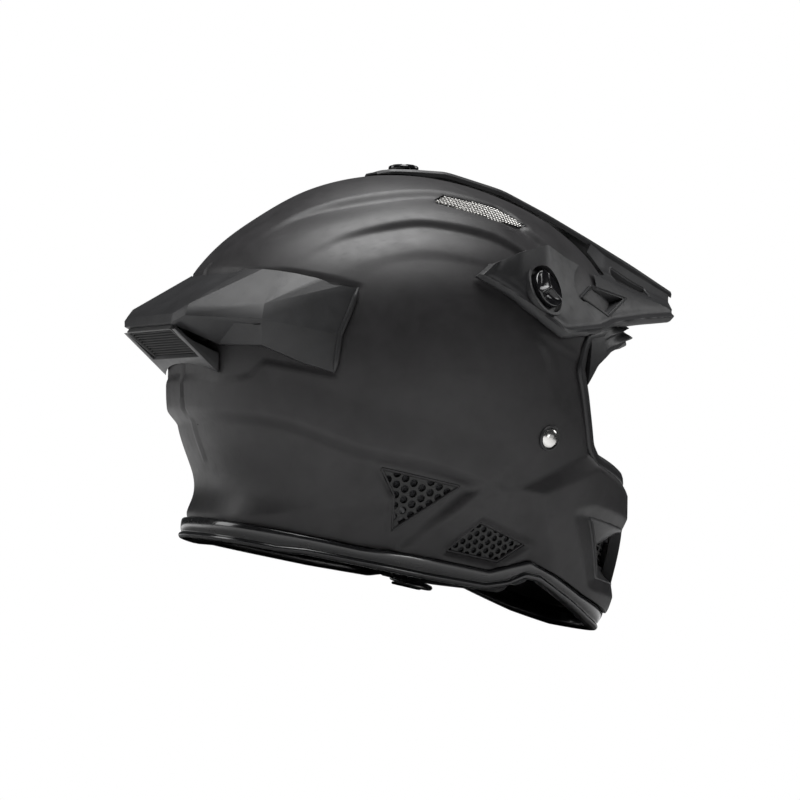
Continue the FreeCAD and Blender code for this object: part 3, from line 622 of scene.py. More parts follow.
TERRACES = [   # the curve, the step's drop, its width and the width of the slope after it
    (drawn([(145, 200), (118, 226), (85, 245), (36, 262), (-12, 263), (-31, 252), (-60, 236)]), 3.4, 7, 24),
    (drawn([(132, 186), (105, 211), (69, 230), (42, 237), (-1, 238), (-36, 225), (-60, 205)]), 2.9, 6, 22),
    (drawn([(112, 185), (83, 209), (51, 221), (17, 226), (-15, 228), (-45, 214)]), 1.3, 16, 24),
]
BLADE_CREST = drawn([(175, 83), (153, 83.5), (119, 85), (72, 78), (21, 79), (-25, 75)])
BLADE_FRONT = drawn([(-25, 75), (17, 20), (24, 8)], False)
FLARE = drawn([(172, 12), (126, 17), (105, 24), (62, 41), (40, 48), (20, 50)])
CHIN_TOP = drawn([(-46, 75), (-109, 116), (-148, 106), (-215, 99)], False)
CHIN_REAR = drawn([(-80, 28), (-46, 75)], False)
CHEEK_UPPER = drawn([(-21, 182), (-77, 173), (-110, 169)], False)
CHEEK_REAR = drawn([(-65, 127), (-21, 182)], False)

# Heights in millimetres; the last limit keeps the shell outside its foam liner.
BLADE_RISE, BLADE_DROP, FLARE_DROP = 2.0, 3.1, 1.6
CHIN_LIFT, CHIN_SIDE_LIFT = 1.2, 4.4
CHEEK_HOLLOW, MOUTH_DIP, TRIM_DIP, DEEPEST = 1.3, 3.6, 0.4, -3.3
DIPS = (       # round each opening or seat: how deep the shell dips and over what width
    (JAW_VENT, 2.4, 4.5), (CHEEK_VENT, 3.0, 5.0), (CROWN_VENT, 0.9, 2.2), (EYE_PORT, 0.7, 2.0),
    (SPOILER_SEAT, 1.1, 2.0),
)
MOUTH_BACK = -0.095           # the mouth vent is cut only in front of this Y


def relief(points, normals):
    """How far the moulded shell stands out from the form, in metres."""
    to_left = to_side_of(points[:, 0])
    points, normals = points * to_left, normals * to_left
    y, z = points[:, 1], points[:, 2]
    height = np.zeros(len(points))
    for curve, drop, step, slope in TERRACES:
        below, along = beside(points, normals, curve)
        fade = ramp(along, 0.30) * ramp(1 - along, 0.12)
        height -= drop * MM * ramp(below, step * MM) * (1 - ramp(below - step * MM, slope * MM)) * fade
    below_crest, _ = beside(points, normals, BLADE_CREST)
    behind_front, _ = beside(points, normals, BLADE_FRONT)
    below_flare, _ = beside(points, normals, FLARE)
    rearward = ramp(y - 0.012, 0.03)
    behind = ramp(behind_front, 6 * MM)
    rise = ramp(below_crest + 26 * MM, 26 * MM) * ramp(behind_front + 22 * MM, 22 * MM) * ramp(z - 0.03, 0.02)
    step = ramp(below_crest, 11 * MM) * behind
    height += BLADE_RISE * MM * rise * (1 - step)
    height -= BLADE_DROP * MM * step * (1 - 0.85 * rearward * ramp(below_flare + 26 * MM, 26 * MM))
    height -= FLARE_DROP * MM * rearward * ramp(below_flare, 12 * MM) * behind
    below_top, _ = beside(points, normals, CHIN_TOP)
    before_rear, _ = beside(points, normals, CHIN_REAR)
    block = np.minimum(np.clip(below_top / (9.5 * MM), 0, 1), np.clip(before_rear / (17 * MM), 0, 1))
    height += (CHIN_LIFT + CHIN_SIDE_LIFT * ramp(np.abs(normals[:, 0]) - 0.15, 0.6)) * MM * block
    below_upper, _ = beside(points, normals, CHEEK_UPPER)
    before_cheek, _ = beside(points, normals, CHEEK_REAR)
    hollow = ramp(below_upper, 6 * MM) * ramp(before_cheek, 10 * MM)
    hollow = hollow * (1 - ramp(below_upper - 8 * MM, 50 * MM))
    height -= CHEEK_HOLLOW * MM * hollow * ramp(z - 0.12, 0.02)
    for outline, depth, width in DIPS:
        near = outline_distance(y, z, outline)
        height -= depth * MM * (1 - ramp(near, width * MM))
    near_mouth = outline_distance(points[:, 0], z, MOUTH_VENT)
    height -= np.where(y < MOUTH_BACK, MOUTH_DIP * MM * (1 - np.clip(near_mouth / (8 * MM), 0, 1)), 0)
    height = np.maximum(height, DEEPEST * MM)
    above_trim = z - np.interp(y, TRIM_TOP[:, 0], TRIM_TOP[:, 1])
    return height - TRIM_DIP * MM * (1 - ramp(above_trim, 2.5 * MM))


def on_shell(v, turn, lift=0.0):
    """Points that stand lift above the finished shell, with its relief."""
    point, normal = form_point(v, turn), form_normal(v, turn)
    flat_point, flat_normal = point.reshape(-1, 3), normal.reshape(-1, 3)
    height = relief(flat_point, flat_normal)[:, None] + np.broadcast_to(lift, flat_point[:, 0].shape)[:, None]
    return (flat_point + height * flat_normal).reshape(point.shape)


# %% [markdown]
# ## Outer shell
# The shell is a grid of quads about two millimetres wide, dense enough for the
# creases to read.  Its lowest row follows the edge trim's line, so no cut is needed there.
# A second, coarser surface inside it and a strip between the two close the wall, and because
# the mesh is closed the openings can be cut cleanly with the same prisms as the real tooling.

# %% Closed prisms and rods used as cutting tools
def block_between(name, start, end):
    """A closed solid between two loops with the same number of points."""
    count = len(start)
    faces = [list(range(count)), list(range(count, 2 * count))]
    faces += [(k, (k + 1) % count, count + (k + 1) % count, count + k) for k in range(count)]
    return outward(mesh_piece(name, np.vstack([start, end]), faces))


def prism(outline, along, low, high):
    """An outline in the plane square to an axis (0 is X, 1 is Y, 2 is Z), extruded along it."""
    ends = [[np.insert(np.asarray(p, float), along, end) for p in outline] for end in (low, high)]
    return block_between("prism", *ends)


def rod(radius, base, axis, length, sides=24):
    """A closed round bar from base along axis."""
    axis = unit(axis)
    first = unit(np.cross(axis, (0.31, 0.95, 0.07)))
    second = np.cross(axis, first)
    angles = 2 * math.pi * np.arange(sides) / sides
    circle = radius * (np.cos(angles)[:, None] * first + np.sin(angles)[:, None] * second)
    return block_between("rod", circle + base, circle + base + axis * length)


def inset(outline, distance):
    """The outline with every side moved inwards by distance."""
    outline = np.asarray(outline, float)
    after = np.roll(outline, -1, 0)
    area = (outline[:, 0] * after[:, 1] - after[:, 0] * outline[:, 1]).sum()
    edge = unit(after - outline)
    normal = np.stack([-edge[:, 1], edge[:, 0]], -1) * np.sign(area)
    reach = (normal * outline).sum(1) + distance
    before_normal, before_reach = np.roll(normal, 1, 0), np.roll(reach, 1)
    return np.array([np.linalg.solve(np.stack([a, b]), (c, d))
                     for a, b, c, d in zip(before_normal, normal, before_reach, reach)])


# %% Build the shell
SHELL_COLUMNS, SHELL_RINGS, INNER_RINGS = 400, 188, 36


def shell_grid(columns, rings):
    """v and turn of a half grid whose lowest ring follows the trim and whose rings lie evenly."""
    turn = np.linspace(-math.pi / 2, math.pi / 2, columns // 2 + 1)
    lowest = follow(TRIM_TOP, turn)
    climbed = travelled(form_point(DENSE_V, 0.5))
    start = np.interp(lowest, DENSE_V, climbed)
    share = np.linspace(0, 1, rings)[:, None]
    v = np.interp(start + (climbed[-1] - start) * share, climbed, DENSE_V)
    return v, np.broadcast_to(turn, v.shape)


def both_halves(half):
    """A half grid and its mirror image, as one ring of columns."""
    return np.concatenate([half, mirror(half[:, -2:0:-1])], axis=1)


def make_shell():
    v, turn = shell_grid(SHELL_COLUMNS, SHELL_RINGS)
    outer = on_shell(v, turn)
    inner_rows = np.linspace(0, SHELL_RINGS - 1, INNER_RINGS).astype(int)
    inner = (outer - form_normal(v, turn) * SHELL_WALL)[inner_rows]
    outer, inner = both_halves(outer), both_halves(inner)
    columns = outer.shape[1]
    faces = grid_faces(SHELL_RINGS, columns, ring=True)
    inner_start = SHELL_RINGS * columns
    faces += [face[::-1] for face in grid_faces(INNER_RINGS, columns, ring=True, start=inner_start)]
    after = [*range(1, columns), 0]
    faces += [(after[k], k, inner_start + k, inner_start + after[k]) for k in range(columns)]
    total = inner_start + INNER_RINGS * columns
    poles = [outer[-1].mean(0), inner[-1].mean(0)]
    for k in range(columns):
        faces.append((inner_start - columns + k, inner_start - columns + after[k], total))
        faces.append((total - columns + after[k], total - columns + k, total + 1))
    points = np.vstack([outer.reshape(-1, 3), inner.reshape(-1, 3), poles])
    return mesh_piece("helmet_shell", points, faces)


shell = make_shell()
reach = FAR * MM
tools = [prism(outline, 0, -reach, reach) for outline in (EYE_PORT, JAW_VENT, CHEEK_VENT, CROWN_VENT)]
tools.append(prism(MOUTH_VENT, 1, -reach, MOUTH_BACK))
cut(shell, *tools)
smooth(shell, 40)
dress(shell, "shell_black", "helmet", "outer_shell")
print("shell box, metres:", [round(v, 4) for v in (*shell.bound_box[0], *shell.bound_box[6])])

# %% [markdown]
# ## Rubber edge trim
# A soft edge runs round the bottom so that the shell's raw rim never shows.  It is a moulding of
# one constant profile: a seam under the shell, a slightly bulging face, a bead along the lower
# edge, and a fold inside.  Such a moulding is easiest as a sweep, and since both of its edges
# are known lines, each profile point only says how far out it is and where between the two.

# %% Profile of the edge and its sweep
TRIM_PROFILE = [  # millimetres out from the form, share of the way up, millimetres added to that
    (-5.7, 0.55, 0), (-5.7, 0, 1.6), (-5.0, 0, 0.5), (-3.6, 0, 0.0), (0.6, 0, 0.0), (1.9, 0, 0.3), (2.8, 0, 1.2),
    (3.1, 0, 2.3), (2.8, 0, 3.4), (2.0, 0, 4.1), (1.5, 0, 4.5), (1.5, 0, 5.0), (2.0, 0, 5.5), (2.5, 0.45, 1.6),
    (2.6, 0.70, 0.4), (2.3, 1, -2.2), (1.9, 1, -1.1), (1.1, 1, -0.5), (0.2, 1, -0.45), (-1.5, 1, -0.3),
    (-3.4, 1, -0.6), (-5.3, 1, -1.4),
]
TRIM_JOIN_X = 38 * MM        # the moulding's two ends meet here, at the back


def make_trim():
    turn = np.linspace(-math.pi / 2, math.pi / 2, 261)
    low_z = form_point(follow(RIM, turn), turn)[:, 2]
    high_z = form_point(follow(TRIM_TOP, turn), turn)[:, 2]
    out, share, extra = np.array(TRIM_PROFILE).T[:, :, None]
    z = low_z + share * (high_z - low_z) + extra * MM
    round_all = np.broadcast_to(turn, z.shape)
    v = level(z)
    side = form_normal(v, round_all) * (1, 1, 0)
    points = both_halves(form_point(v, round_all) + unit(side) * out[..., None] * MM)
    join = (np.abs(points[..., 0] - TRIM_JOIN_X) < 0.9 * MM) & (points[..., 1] > 0)
    points[join] -= both_halves(unit(side))[join] * 0.9 * MM
    faces = grid_faces(len(TRIM_PROFILE), points.shape[1], ring=True, closed=True)
    return outward(mesh_piece("edge_trim", points, faces))


trim = smooth(make_trim(), 50)
dress(trim, "gloss_rubber", "helmet", "bottom_edge_trim")

# %% [markdown]
# ## Sweeping a moulding along any outline
# Frames, bezels and piping all follow a closed line that lies on a surface.  The helper below
# takes the line's points and the surface's normals there, and lays a profile of (across, out)
# steps along it: across points into the opening and out points away from the surface.


# %% The sweep
def evened(path, count, closed=True):
    """The same line with count points at even spacing."""
    path = np.asarray(path, float)
    if closed:
        path = np.vstack([path, path[:1]])
    steps = travelled(path)
    return read_off(np.linspace(0, steps[-1], count, endpoint=not closed), steps, path)


def relaxed(path, rounds, closed=True):
    """The line with its corners eased; open lines keep their ends."""
    path = np.array(path, float)
    for _ in range(rounds):
        middle = (np.roll(path, 1, 0) + np.roll(path, -1, 0)) / 2
        if not closed:
            middle[[0, -1]] = path[[0, -1]]
        path = (path + middle) / 2
    return path


def sweep(name, path, normals, profile, widen=1.0, inwards=None):
    """A moulding along a closed line; profile points are (across, out) in millimetres."""
    tangent = unit(np.roll(path, -1, 0) - np.roll(path, 1, 0))
    across = unit(np.cross(normals, tangent))
    middle = path.mean(0) if inwards is None else inwards
    if (across * (middle - path)).sum() < 0:
        across = -across
    widen = np.broadcast_to(widen, len(path))[:, None]
    points = [path + across * a * MM * widen + normals * o * MM for a, o in profile]
    faces = grid_faces(len(profile), len(path), ring=True, closed=True)
    return outward(mesh_piece(name, np.array(points), faces))


def side_path(outline, count, rounds=2, side=1):
    """An outline in side view as an even line on the shell, with the normals there."""
    flat = relaxed(evened(outline, count), rounds)
    v, turn = from_side(flat[:, 0], flat[:, 1])
    points, normals = on_shell(v, turn), form_normal(v, turn)
    return (points, normals) if side > 0 else (mirror(points), mirror(normals))


# %% Thin closed solids
def slab(name, top, low):
    """A closed solid between two grids of the same shape."""
    rows, columns = top.shape[:2]
    count = rows * columns
    faces = grid_faces(rows, columns)
    faces += [face[::-1] for face in grid_faces(rows, columns, start=count)]
    edge = [*range(columns), *range(2 * columns - 1, count, columns),
            *range(count - 2, count - columns - 1, -1), *range(count - 2 * columns, 0, -columns)]
    faces += [(a, b, b + count, a + count) for a, b in zip(edge, edge[1:] + edge[:1])]
    return outward(mesh_piece(name, np.array([top, low]), faces))


# %% [markdown]
# ## Eye port frame
# A separate black frame lines the opening for goggles.  It sits a hair inside the shell's cut,
# so a fine dark seam shows all round it, and over the brow it grows wide and carries two
# louvres.  The line is found in three stretches: along the brow and the chin it follows the
# shell from the middle outwards, and at the side it follows the cut's corners.

# %% Line of the eye port, from the brow's middle to the chin's
def port_path(step_in=0.0, count=150):
    """v and turn along half of the eye port, moved into the opening by step_in."""
    corners = inset(EYE_PORT, step_in)
    brow = np.array([corners[1], corners[0]])
    chin = np.array([corners[2], corners[3], corners[4]])
    corner_turn = from_side(*corners[0])[1], from_side(*corners[4])[1]
    brow_turn = np.linspace(-math.pi / 2, corner_turn[0], 50)
    chin_turn = np.linspace(corner_turn[1], -math.pi / 2, 50)
    side = np.array([corners[0], *corners[:4:-1], corners[4]])
    side = relaxed(evened(side, 60, False), 2, False)
    side_v, side_turn = from_side(side[:, 0], side[:, 1])
    v = np.concatenate([follow(brow, brow_turn)[:-1], side_v, follow(chin, chin_turn)[1:]])
    turn = np.concatenate([brow_turn[:-1], side_turn, chin_turn[1:]])
    steps = travelled(form_point(v, turn))
    even = read_off(np.linspace(0, steps[-1], count), steps, np.stack([v, turn], -1))
    return relaxed(even, 2, False).T


def full_port(step_in=0.0):
    """The whole line of the port and the form's normals along it."""
    v, turn = port_path(step_in)
    halves = form_point(v, turn), form_normal(v, turn)
    return [np.concatenate([half, mirror(half[-2:0:-1])]) for half in halves]


PORT_PROFILE = [(0.0, -6.5), (0.0, -0.6), (0.35, 0.2), (1.1, 0.75), (2.4, 0.9), (5.4, 0.5), (7.2, -0.2),
                (8.0, -1.3), (8.3, -2.8), (8.3, -6.5), (5.0, -7.2)]
PORT_MIDDLE = np.array([0, -0.14, 0.15])
port_frame = sweep("eye_port_surround", *full_port(0.25 * MM), PORT_PROFILE, inwards=PORT_MIDDLE)
smooth(port_frame, 45)
dress(port_frame, "satin_black", "helmet", "eye_port_frame")


# %% Brow with two louvres
def louvre(share, start, crest, height):
    """A ridge that rises slowly from start to crest and ends in a sharp lower lip."""
    return height * ramp(share - start, crest - start) * ramp(crest + 0.05 - share, 0.05)


BROW_END = (-0.0845, 0.176)        # the side-view point where the band ends


def brow_plate():
    """The wide band over the eyes, from the shell's cut down to the brow's edge."""
    turn = np.linspace(-math.pi / 2, from_side(*BROW_END)[1], 90)
    top, low = follow(EYE_PORT[1::-1], turn), follow(BROW_EDGE, turn)
    share = np.linspace(0, 1, 61)[:, None]
    v = top + (low - top) * share
    round_all = np.broadcast_to(turn, v.shape)
    points, normals = form_point(v, round_all), form_normal(v, round_all)
    fade = ramp(0.094 - points[..., 0], 0.022)
    ridges = louvre(share, 0.08, 0.34, 4.2) + louvre(share, 0.42, 0.74, 5.2)
    lift = 0.7 + fade * ridges - 3.0 * ramp(share - 0.95, 0.05)
    outer = points + normals * lift[..., None] * MM
    inner = points - normals * 6.0 * MM
    whole = [np.concatenate([mirror(half[:, :0:-1]), half], axis=1) for half in (outer, inner)]
    return slab("brow_louvres", *whole)


dress(smooth(brow_plate(), 40), "satin_black", "helmet", "eye_port_frame")

# %% [markdown]
# ## Side vents
# Each side has two openings: an arrowhead at the back of the jaw and a leaning diamond under the
# cheek.  Behind each cut is a curved plate pierced with a honeycomb of round holes.  The plate
# is a patch of the shell's own form, moved inwards; an outline prism trims it and one mesh of
# many rods drills it.  Drilling real holes costs more than a pattern, but light falls through
# them and they stay round from every side.


# %% Plates and drills
def side_patch(outline, low, high, columns=40, rows=30):
    """A closed slab that follows the form around an outline, between two depths."""
    margin = 3 * MM
    y = np.linspace(outline[:, 0].min() - margin, outline[:, 0].max() + margin, columns)
    z = np.linspace(outline[:, 1].min() - margin, outline[:, 1].max() + margin, rows)
    v, turn = from_side(*np.meshgrid(y, z))
    point, normal = form_point(v, turn), form_normal(v, turn)
    return slab("patch", point + normal * high * MM, point + normal * low * MM)


def honeycomb(outline, pitch, radius, lean=0.0, keep_off=2.2):
    """Centres of a honeycomb inside an outline, in metres."""
    low, high = outline.min(0), outline.max(0)
    middle = (low + high) / 2
    spread = int(np.ptp(outline) / pitch) + 2
    centres = []
    for row in range(-spread, spread):
        for column in range(-spread, spread):
            centres.append(((column + 0.5 * (row % 2)) * pitch, row * pitch * math.sqrt(3) / 2))
    a, b = np.array(centres).T
    turned = a * math.cos(lean) - b * math.sin(lean), a * math.sin(lean) + b * math.cos(lean)
    centres = middle + np.stack(turned, -1)
    inside = outline_distance(centres[:, 0], centres[:, 1], outline) < keep_off * MM - radius
    return centres[inside]


def drills(centres, radius, depth, sides=14):
    """One mesh of separate rods that stand square to the form at each centre."""
    v, turn = from_side(centres[:, 0], centres[:, 1])
    axes = form_normal(v, turn)
    bases = form_point(v, turn) - axes * depth
    return joined("drills", *[rod(radius, base, axis, 2 * depth, sides) for base, axis in zip(bases, axes)])


def grille(name, outline, pitch, radius, depth, lean):
    """A pierced plate for the wearer's left side."""
    plate = side_patch(outline, -depth, -depth - 2.2)
    cut(plate, prism(inset(outline, 0.25 * MM), 0, 0.0, FAR * MM), operation="INTERSECT")
    cut(plate, drills(honeycomb(outline, pitch, radius, lean), radius, 0.012))
    plate.name = name
    return soften(plate, 0.25 * MM, 1, 40)


def mirrored_copy(piece, name):
    """The same piece for the wearer's right side."""
    twin = in_scene(name, piece.data.copy())
    twin.data.transform(Matrix.Diagonal((-1, 1, 1, 1)))
    twin.data.flip_normals()
    return twin


def both_sides(piece, name, slot, body, stem):
    """Dresses a left-hand piece, and its mirror image for the right."""
    twin = mirrored_copy(piece, name + "_right")
    piece.name = name + "_left"
    dress(piece, slot, body, stem + "_left")
    dress(twin, slot, body, stem + "_right")


jaw_grille = grille("jaw_grille", JAW_VENT, 7.0 * MM, 2.7 * MM, 3.6, math.radians(14))
both_sides(jaw_grille, "jaw_grille", "grille_black", "helmet", "jaw_vent_grille")
cheek_grille = grille("cheek_grille", CHEEK_VENT, 5.6 * MM, 2.1 * MM, 3.4, math.radians(20))
both_sides(cheek_grille, "cheek_grille", "grille_black", "helmet", "cheek_vent_grille")


# %% A thin rolled edge round each vent
VENT_EDGE = [(-0.9, -1.6), (-0.7, 0.1), (-0.2, 0.45), (0.4, 0.4), (0.9, -0.1), (1.1, -1.2), (1.1, -3.0)]


def vent_edges():
    rings = []
    for outline, count in ((JAW_VENT, 110), (CHEEK_VENT, 90)):
        for side in (-1, 1):
            points, normals = side_path(outline, count, 1, side)
            rings.append(sweep("ring", points, normals, VENT_EDGE))
    return joined("vent_edges", *rings)


dress(smooth(vent_edges(), 50), "shell_black", "helmet")

# %% [markdown]
# ## Wire mesh in the crown vents
# The slots in the crown are closed with bright woven wire.  Two families of round wires cross,
# and each goes over one and under the next.  A wire is a tube whose height follows a wave;
# where the other family crosses, its wave has the opposite sign.


# %% Weave
def clipped(start, along, outline):
    """The stretch of a straight line inside a convex outline, or None."""
    enter, leave = -9.0, 9.0
    area = np.cross(outline, np.roll(outline, -1, 0)).sum()
    for a, b in zip(outline, np.roll(outline, -1, 0)):
        normal = np.array([a[1] - b[1], b[0] - a[0]]) * np.sign(area)
        speed, gap = along @ normal, (start - a) @ normal
        if abs(speed) < 1e-12:
            if gap < 0:
                return None
        elif speed > 0:
            enter = max(enter, -gap / speed)
        else:
            leave = min(leave, -gap / speed)
    return (enter, leave) if leave - enter > 0.8 * MM else None


def tube(path, radius, sides=6, closed=False):
    """Points and quads of a round tube along a path; a list of radii tapers it."""
    path = np.asarray(path, float)
    if closed:
        tangent = unit(np.roll(path, -1, 0) - np.roll(path, 1, 0))
    else:
        tangent = unit(np.gradient(path, axis=0))
    first = unit(np.cross(tangent, (0.13, 0.21, 0.97)))
    second = np.cross(tangent, first)
    angles = 2 * math.pi * np.arange(sides) / sides
    radii = np.broadcast_to(radius, len(path))[:, None, None]
    cosine, sine = np.cos(angles)[:, None], np.sin(angles)[:, None]
    circle = cosine * first[:, None] + sine * second[:, None]
    points = (path[:, None] + radii * circle).reshape(-1, 3)
    faces = grid_faces(len(path), sides, ring=True, closed=closed)
    if not closed:
        faces += end_caps(len(path), sides)
    return points, faces


def bundle(name, tubes):
    """Several tubes as one mesh."""
    points, faces, total = [], [], 0
    for tube_points, tube_faces in tubes:
        points.append(tube_points)
        faces += [[index + total for index in face] for face in tube_faces]
        total += len(tube_points)
    return smooth(outward(mesh_piece(name, np.vstack(points), faces)), 60)


WIRE_RADIUS, WIRE_PITCH = 0.34 * MM, 1.75 * MM
CROWN_STRETCH = 1.9          # the crown leans, so a side view sees the slot this much narrower


def woven_wire():
    outline = inset(CROWN_VENT, -0.8 * MM) * (1, CROWN_STRETCH)
    middle = outline.mean(0)
    tubes = []
    for family, angle in ((0, math.radians(45)), (1, math.radians(-45))):
        along = np.array([math.cos(angle), math.sin(angle)])
        over = np.array([-along[1], along[0]])
        for count in range(-30, 31):
            start = middle + over * count * WIRE_PITCH
            stretch = clipped(start, along, outline)
            if stretch is None:
                continue
            places = np.arange(stretch[0], stretch[1], WIRE_PITCH / 4)
            if len(places) < 3:
                continue
            flat = start + places[:, None] * along
            wave = np.cos(math.pi * (places / WIRE_PITCH + count + family))
            v, turn = from_side(flat[:, 0], flat[:, 1] / CROWN_STRETCH)
            lift = (-1.9 * MM + wave * WIRE_RADIUS)[:, None]
            tubes.append(tube(form_point(v, turn) + form_normal(v, turn) * lift, WIRE_RADIUS, 5))
    return bundle("crown_wire", tubes)


both_sides(woven_wire(), "crown_wire", "metal_mesh", "helmet", "crown_vent_mesh")


# %% Lips that hold the wire
CROWN_LIP = [(-0.7, -3), (-0.6, 0.2), (0.1, 0.6), (0.8, 0.3), (1.0, -3)]


def crown_lips():
    """A dark lip round each slot."""
    rings = []
    for side in (-1, 1):
        points, normals = side_path(CROWN_VENT, 120, 2, side)
        rings.append(sweep("lip", points, normals, CROWN_LIP))
    return joined("crown_vent_lips", *rings)


crown_meshes = "crown_vent_mesh_left", "crown_vent_mesh_right"
dress(smooth(crown_lips(), 50), "satin_black", "helmet", *crown_meshes)

# %% [markdown]
# ## Mouth vent
# In front of the mouth the chin bar is cut open.  The walls of the cut slope inwards like a
# funnel, most of all at the sides, down to a smaller opening that a grille closes.  The funnel is
# a sweep along the trapezoid, given wider steps at its sides than above and below.


# %% Funnel and grille of the mouth vent
FUNNEL = [(-0.6, -1.5), (-0.4, 0.2), (0.2, 0.4), (0.7, 0.1), (2.2, -3.5), (5.5, -9.0), (6.2, -11.0),
          (4.5, -11.5)]
MOUTH_BAR_DEPTH = 11.5 * MM


def front_point(x, z, lift=0.0):
    """The point of the form that a front view shows at (x, z), raised by lift, and its normal."""
    v, turn = from_front(np.abs(x), z)
    normal = form_normal(v, turn)
    side = to_side_of(np.asarray(x))
    return (form_point(v, turn) + normal * lift) * side, normal * side


def mouth_funnel():
    """The sloping walls of the vent, wider at its two ends."""
    flat = relaxed(evened(MOUTH_VENT, 220), 2)
    v, turn = from_front(np.abs(flat[:, 0]), flat[:, 1])
    side = to_side_of(flat[:, 0])
    points, normals = on_shell(v, turn) * side, form_normal(v, turn) * side
    sideways = ramp(np.abs(points[:, 0]) - 0.045, 0.022)
    return sweep("mouth_funnel", points, normals, FUNNEL, 1 + 1.6 * sideways)


def mouth_grille():
    """Curved bars behind the funnel, with five uprights."""
    tubes = []
    for z in np.arange(40, 68, 4.2) * MM:
        x = np.linspace(-0.070, 0.070, 61)
        points, _ = front_point(x, np.full(61, z), -MOUTH_BAR_DEPTH)
        tubes.append(tube(points, 0.85 * MM, 8))
    for x in np.array([-48, -24, 0, 24, 48]) * MM:
        z = np.linspace(0.037, 0.069, 13)
        points, _ = front_point(np.full(13, x), z, -MOUTH_BAR_DEPTH)
        tubes.append(tube(points, 1.0 * MM, 8))
    return bundle("mouth_bars", tubes)


GUARD_HALF, GUARD_LOW, GUARD_HIGH = 36 * MM, 33.5 * MM, 72.5 * MM
GUARD_PITCH = 7.8 * MM        # from one louvre of the guard to the next


def mouth_guard():
    """The middle of the vent: louvres that stand flush with the shell and close its outline."""
    x = np.linspace(-GUARD_HALF, GUARD_HALF, 61)[None, :]
    z = np.linspace(GUARD_LOW, GUARD_HIGH, 53)[:, None]
    x, z = np.broadcast_arrays(x, z)
    points, normals = front_point(x, z)
    wave = ((z - GUARD_LOW) / GUARD_PITCH) % 1
    inside = ramp(GUARD_HALF - 3 * MM - np.abs(x), 2 * MM)
    inside = inside * ramp(z - GUARD_LOW - 1 * MM, 1 * MM) * ramp(GUARD_HIGH - 1 * MM - z, 1 * MM)
    lift = 0.9 - 3.4 * inside * ramp(wave, 0.75) * ramp(1 - wave, 0.12)
    return slab("mouth_guard", points + normals * lift[..., None] * MM, points - normals * 7 * MM)


dress(smooth(mouth_guard(), 40), "satin_black", "helmet", "mouth_vent_frame")
dress(smooth(mouth_funnel(), 40), "satin_black", "helmet", "mouth_vent_frame")
dress(mouth_grille(), "grille_black", "helmet", "mouth_vent_grille")

# %% [markdown]
# ## Rear spoiler
# The spoiler is a hard, faceted moulding that wraps the back of the shell.  Its planes matter
# more than its curves, so it is built like a paper model: a few named corners for the left half,
# flat faces between them, and a mirror.  The side that lies on the shell is not guessed; the
# block runs a little way into the shell and the form is then subtracted from it, which leaves
# a seam that fits exactly.  A bevel gives the edges the soft light of a moulded part.


# %% The form as a closed solid, for trimming other pieces to it
def joint(name):
    """A joint of the frame, by its name."""
    return next(joint for joint in frame["joints"] if joint["name"] == name)


HINGE = np.array(joint("visor_tilt")["pos_m"])
VISOR_TRAVEL = max(joint("visor_tilt")["range_deg"])


def form_solid(lift, tilt=0.0, columns=200, rings=90):
    """The helmet's form grown by lift, and turned about the visor's hinge by tilt degrees."""
    v = np.linspace(0, TOP_V, rings)[:, None]
    turn = (2 * math.pi * np.arange(columns) / columns)[None, :]
    v, turn = np.broadcast_arrays(v, turn)
    points = form_point(v, turn) + form_normal(v, turn) * lift
    cosine, sine = math.cos(math.radians(tilt)), math.sin(math.radians(tilt))
    spin = np.array([(1, 0, 0), (0, cosine, -sine), (0, sine, cosine)])
    points = (points - HINGE) @ spin.T + HINGE
    faces = grid_faces(rings, columns, ring=True) + end_caps(rings, columns)
    return outward(mesh_piece("form", points, faces))


def model_mm(points):
    """Points in the CAD model's millimetres, as metres in the frame."""
    return np.array(points, float) * MM + (0, CENTRE_SHIFT, 0)


def folded(name, corners, faces):
    """A closed, mirrored block from the named corners of its left half."""
    names = list(corners)
    numbered = [[names.index(corner) for corner in face.split()] for face in faces]
    piece = mesh_piece(name, model_mm(list(corners.values())), numbered)
    modify(piece, "MIRROR", use_axis=(True, False, False), merge_threshold=1e-5)
    return outward(settle(piece))


# %% Corners and planes of the spoiler
SPOILER_CORNERS = {
    "peak": (0, 187, 144), "crease_back": (50, 187, 144), "crease_front": (80, 148, 153),
    "front_top": (104, 97, 175.5), "front_mid": (107, 103, 143), "front_low": (106, 101, 118.5),
    "tip": (0, 193, 136.5), "tip_corner": (41.5, 193, 136.5),
    "tip_under": (0, 193, 130), "tip_corner_under": (41.5, 193, 130),
    "panel_back": (54, 189.5, 135.5), "panel_front": (85, 149.5, 142.5),
    "low_side": (97, 121, 120.5), "low_mid": (79, 143, 127), "low_back": (48, 160, 124),
    "in_middle": (0, 140, 123), "in_back": (40, 136, 122),
    "in_side": (68, 108, 118), "in_front": (80, 90, 116),
}
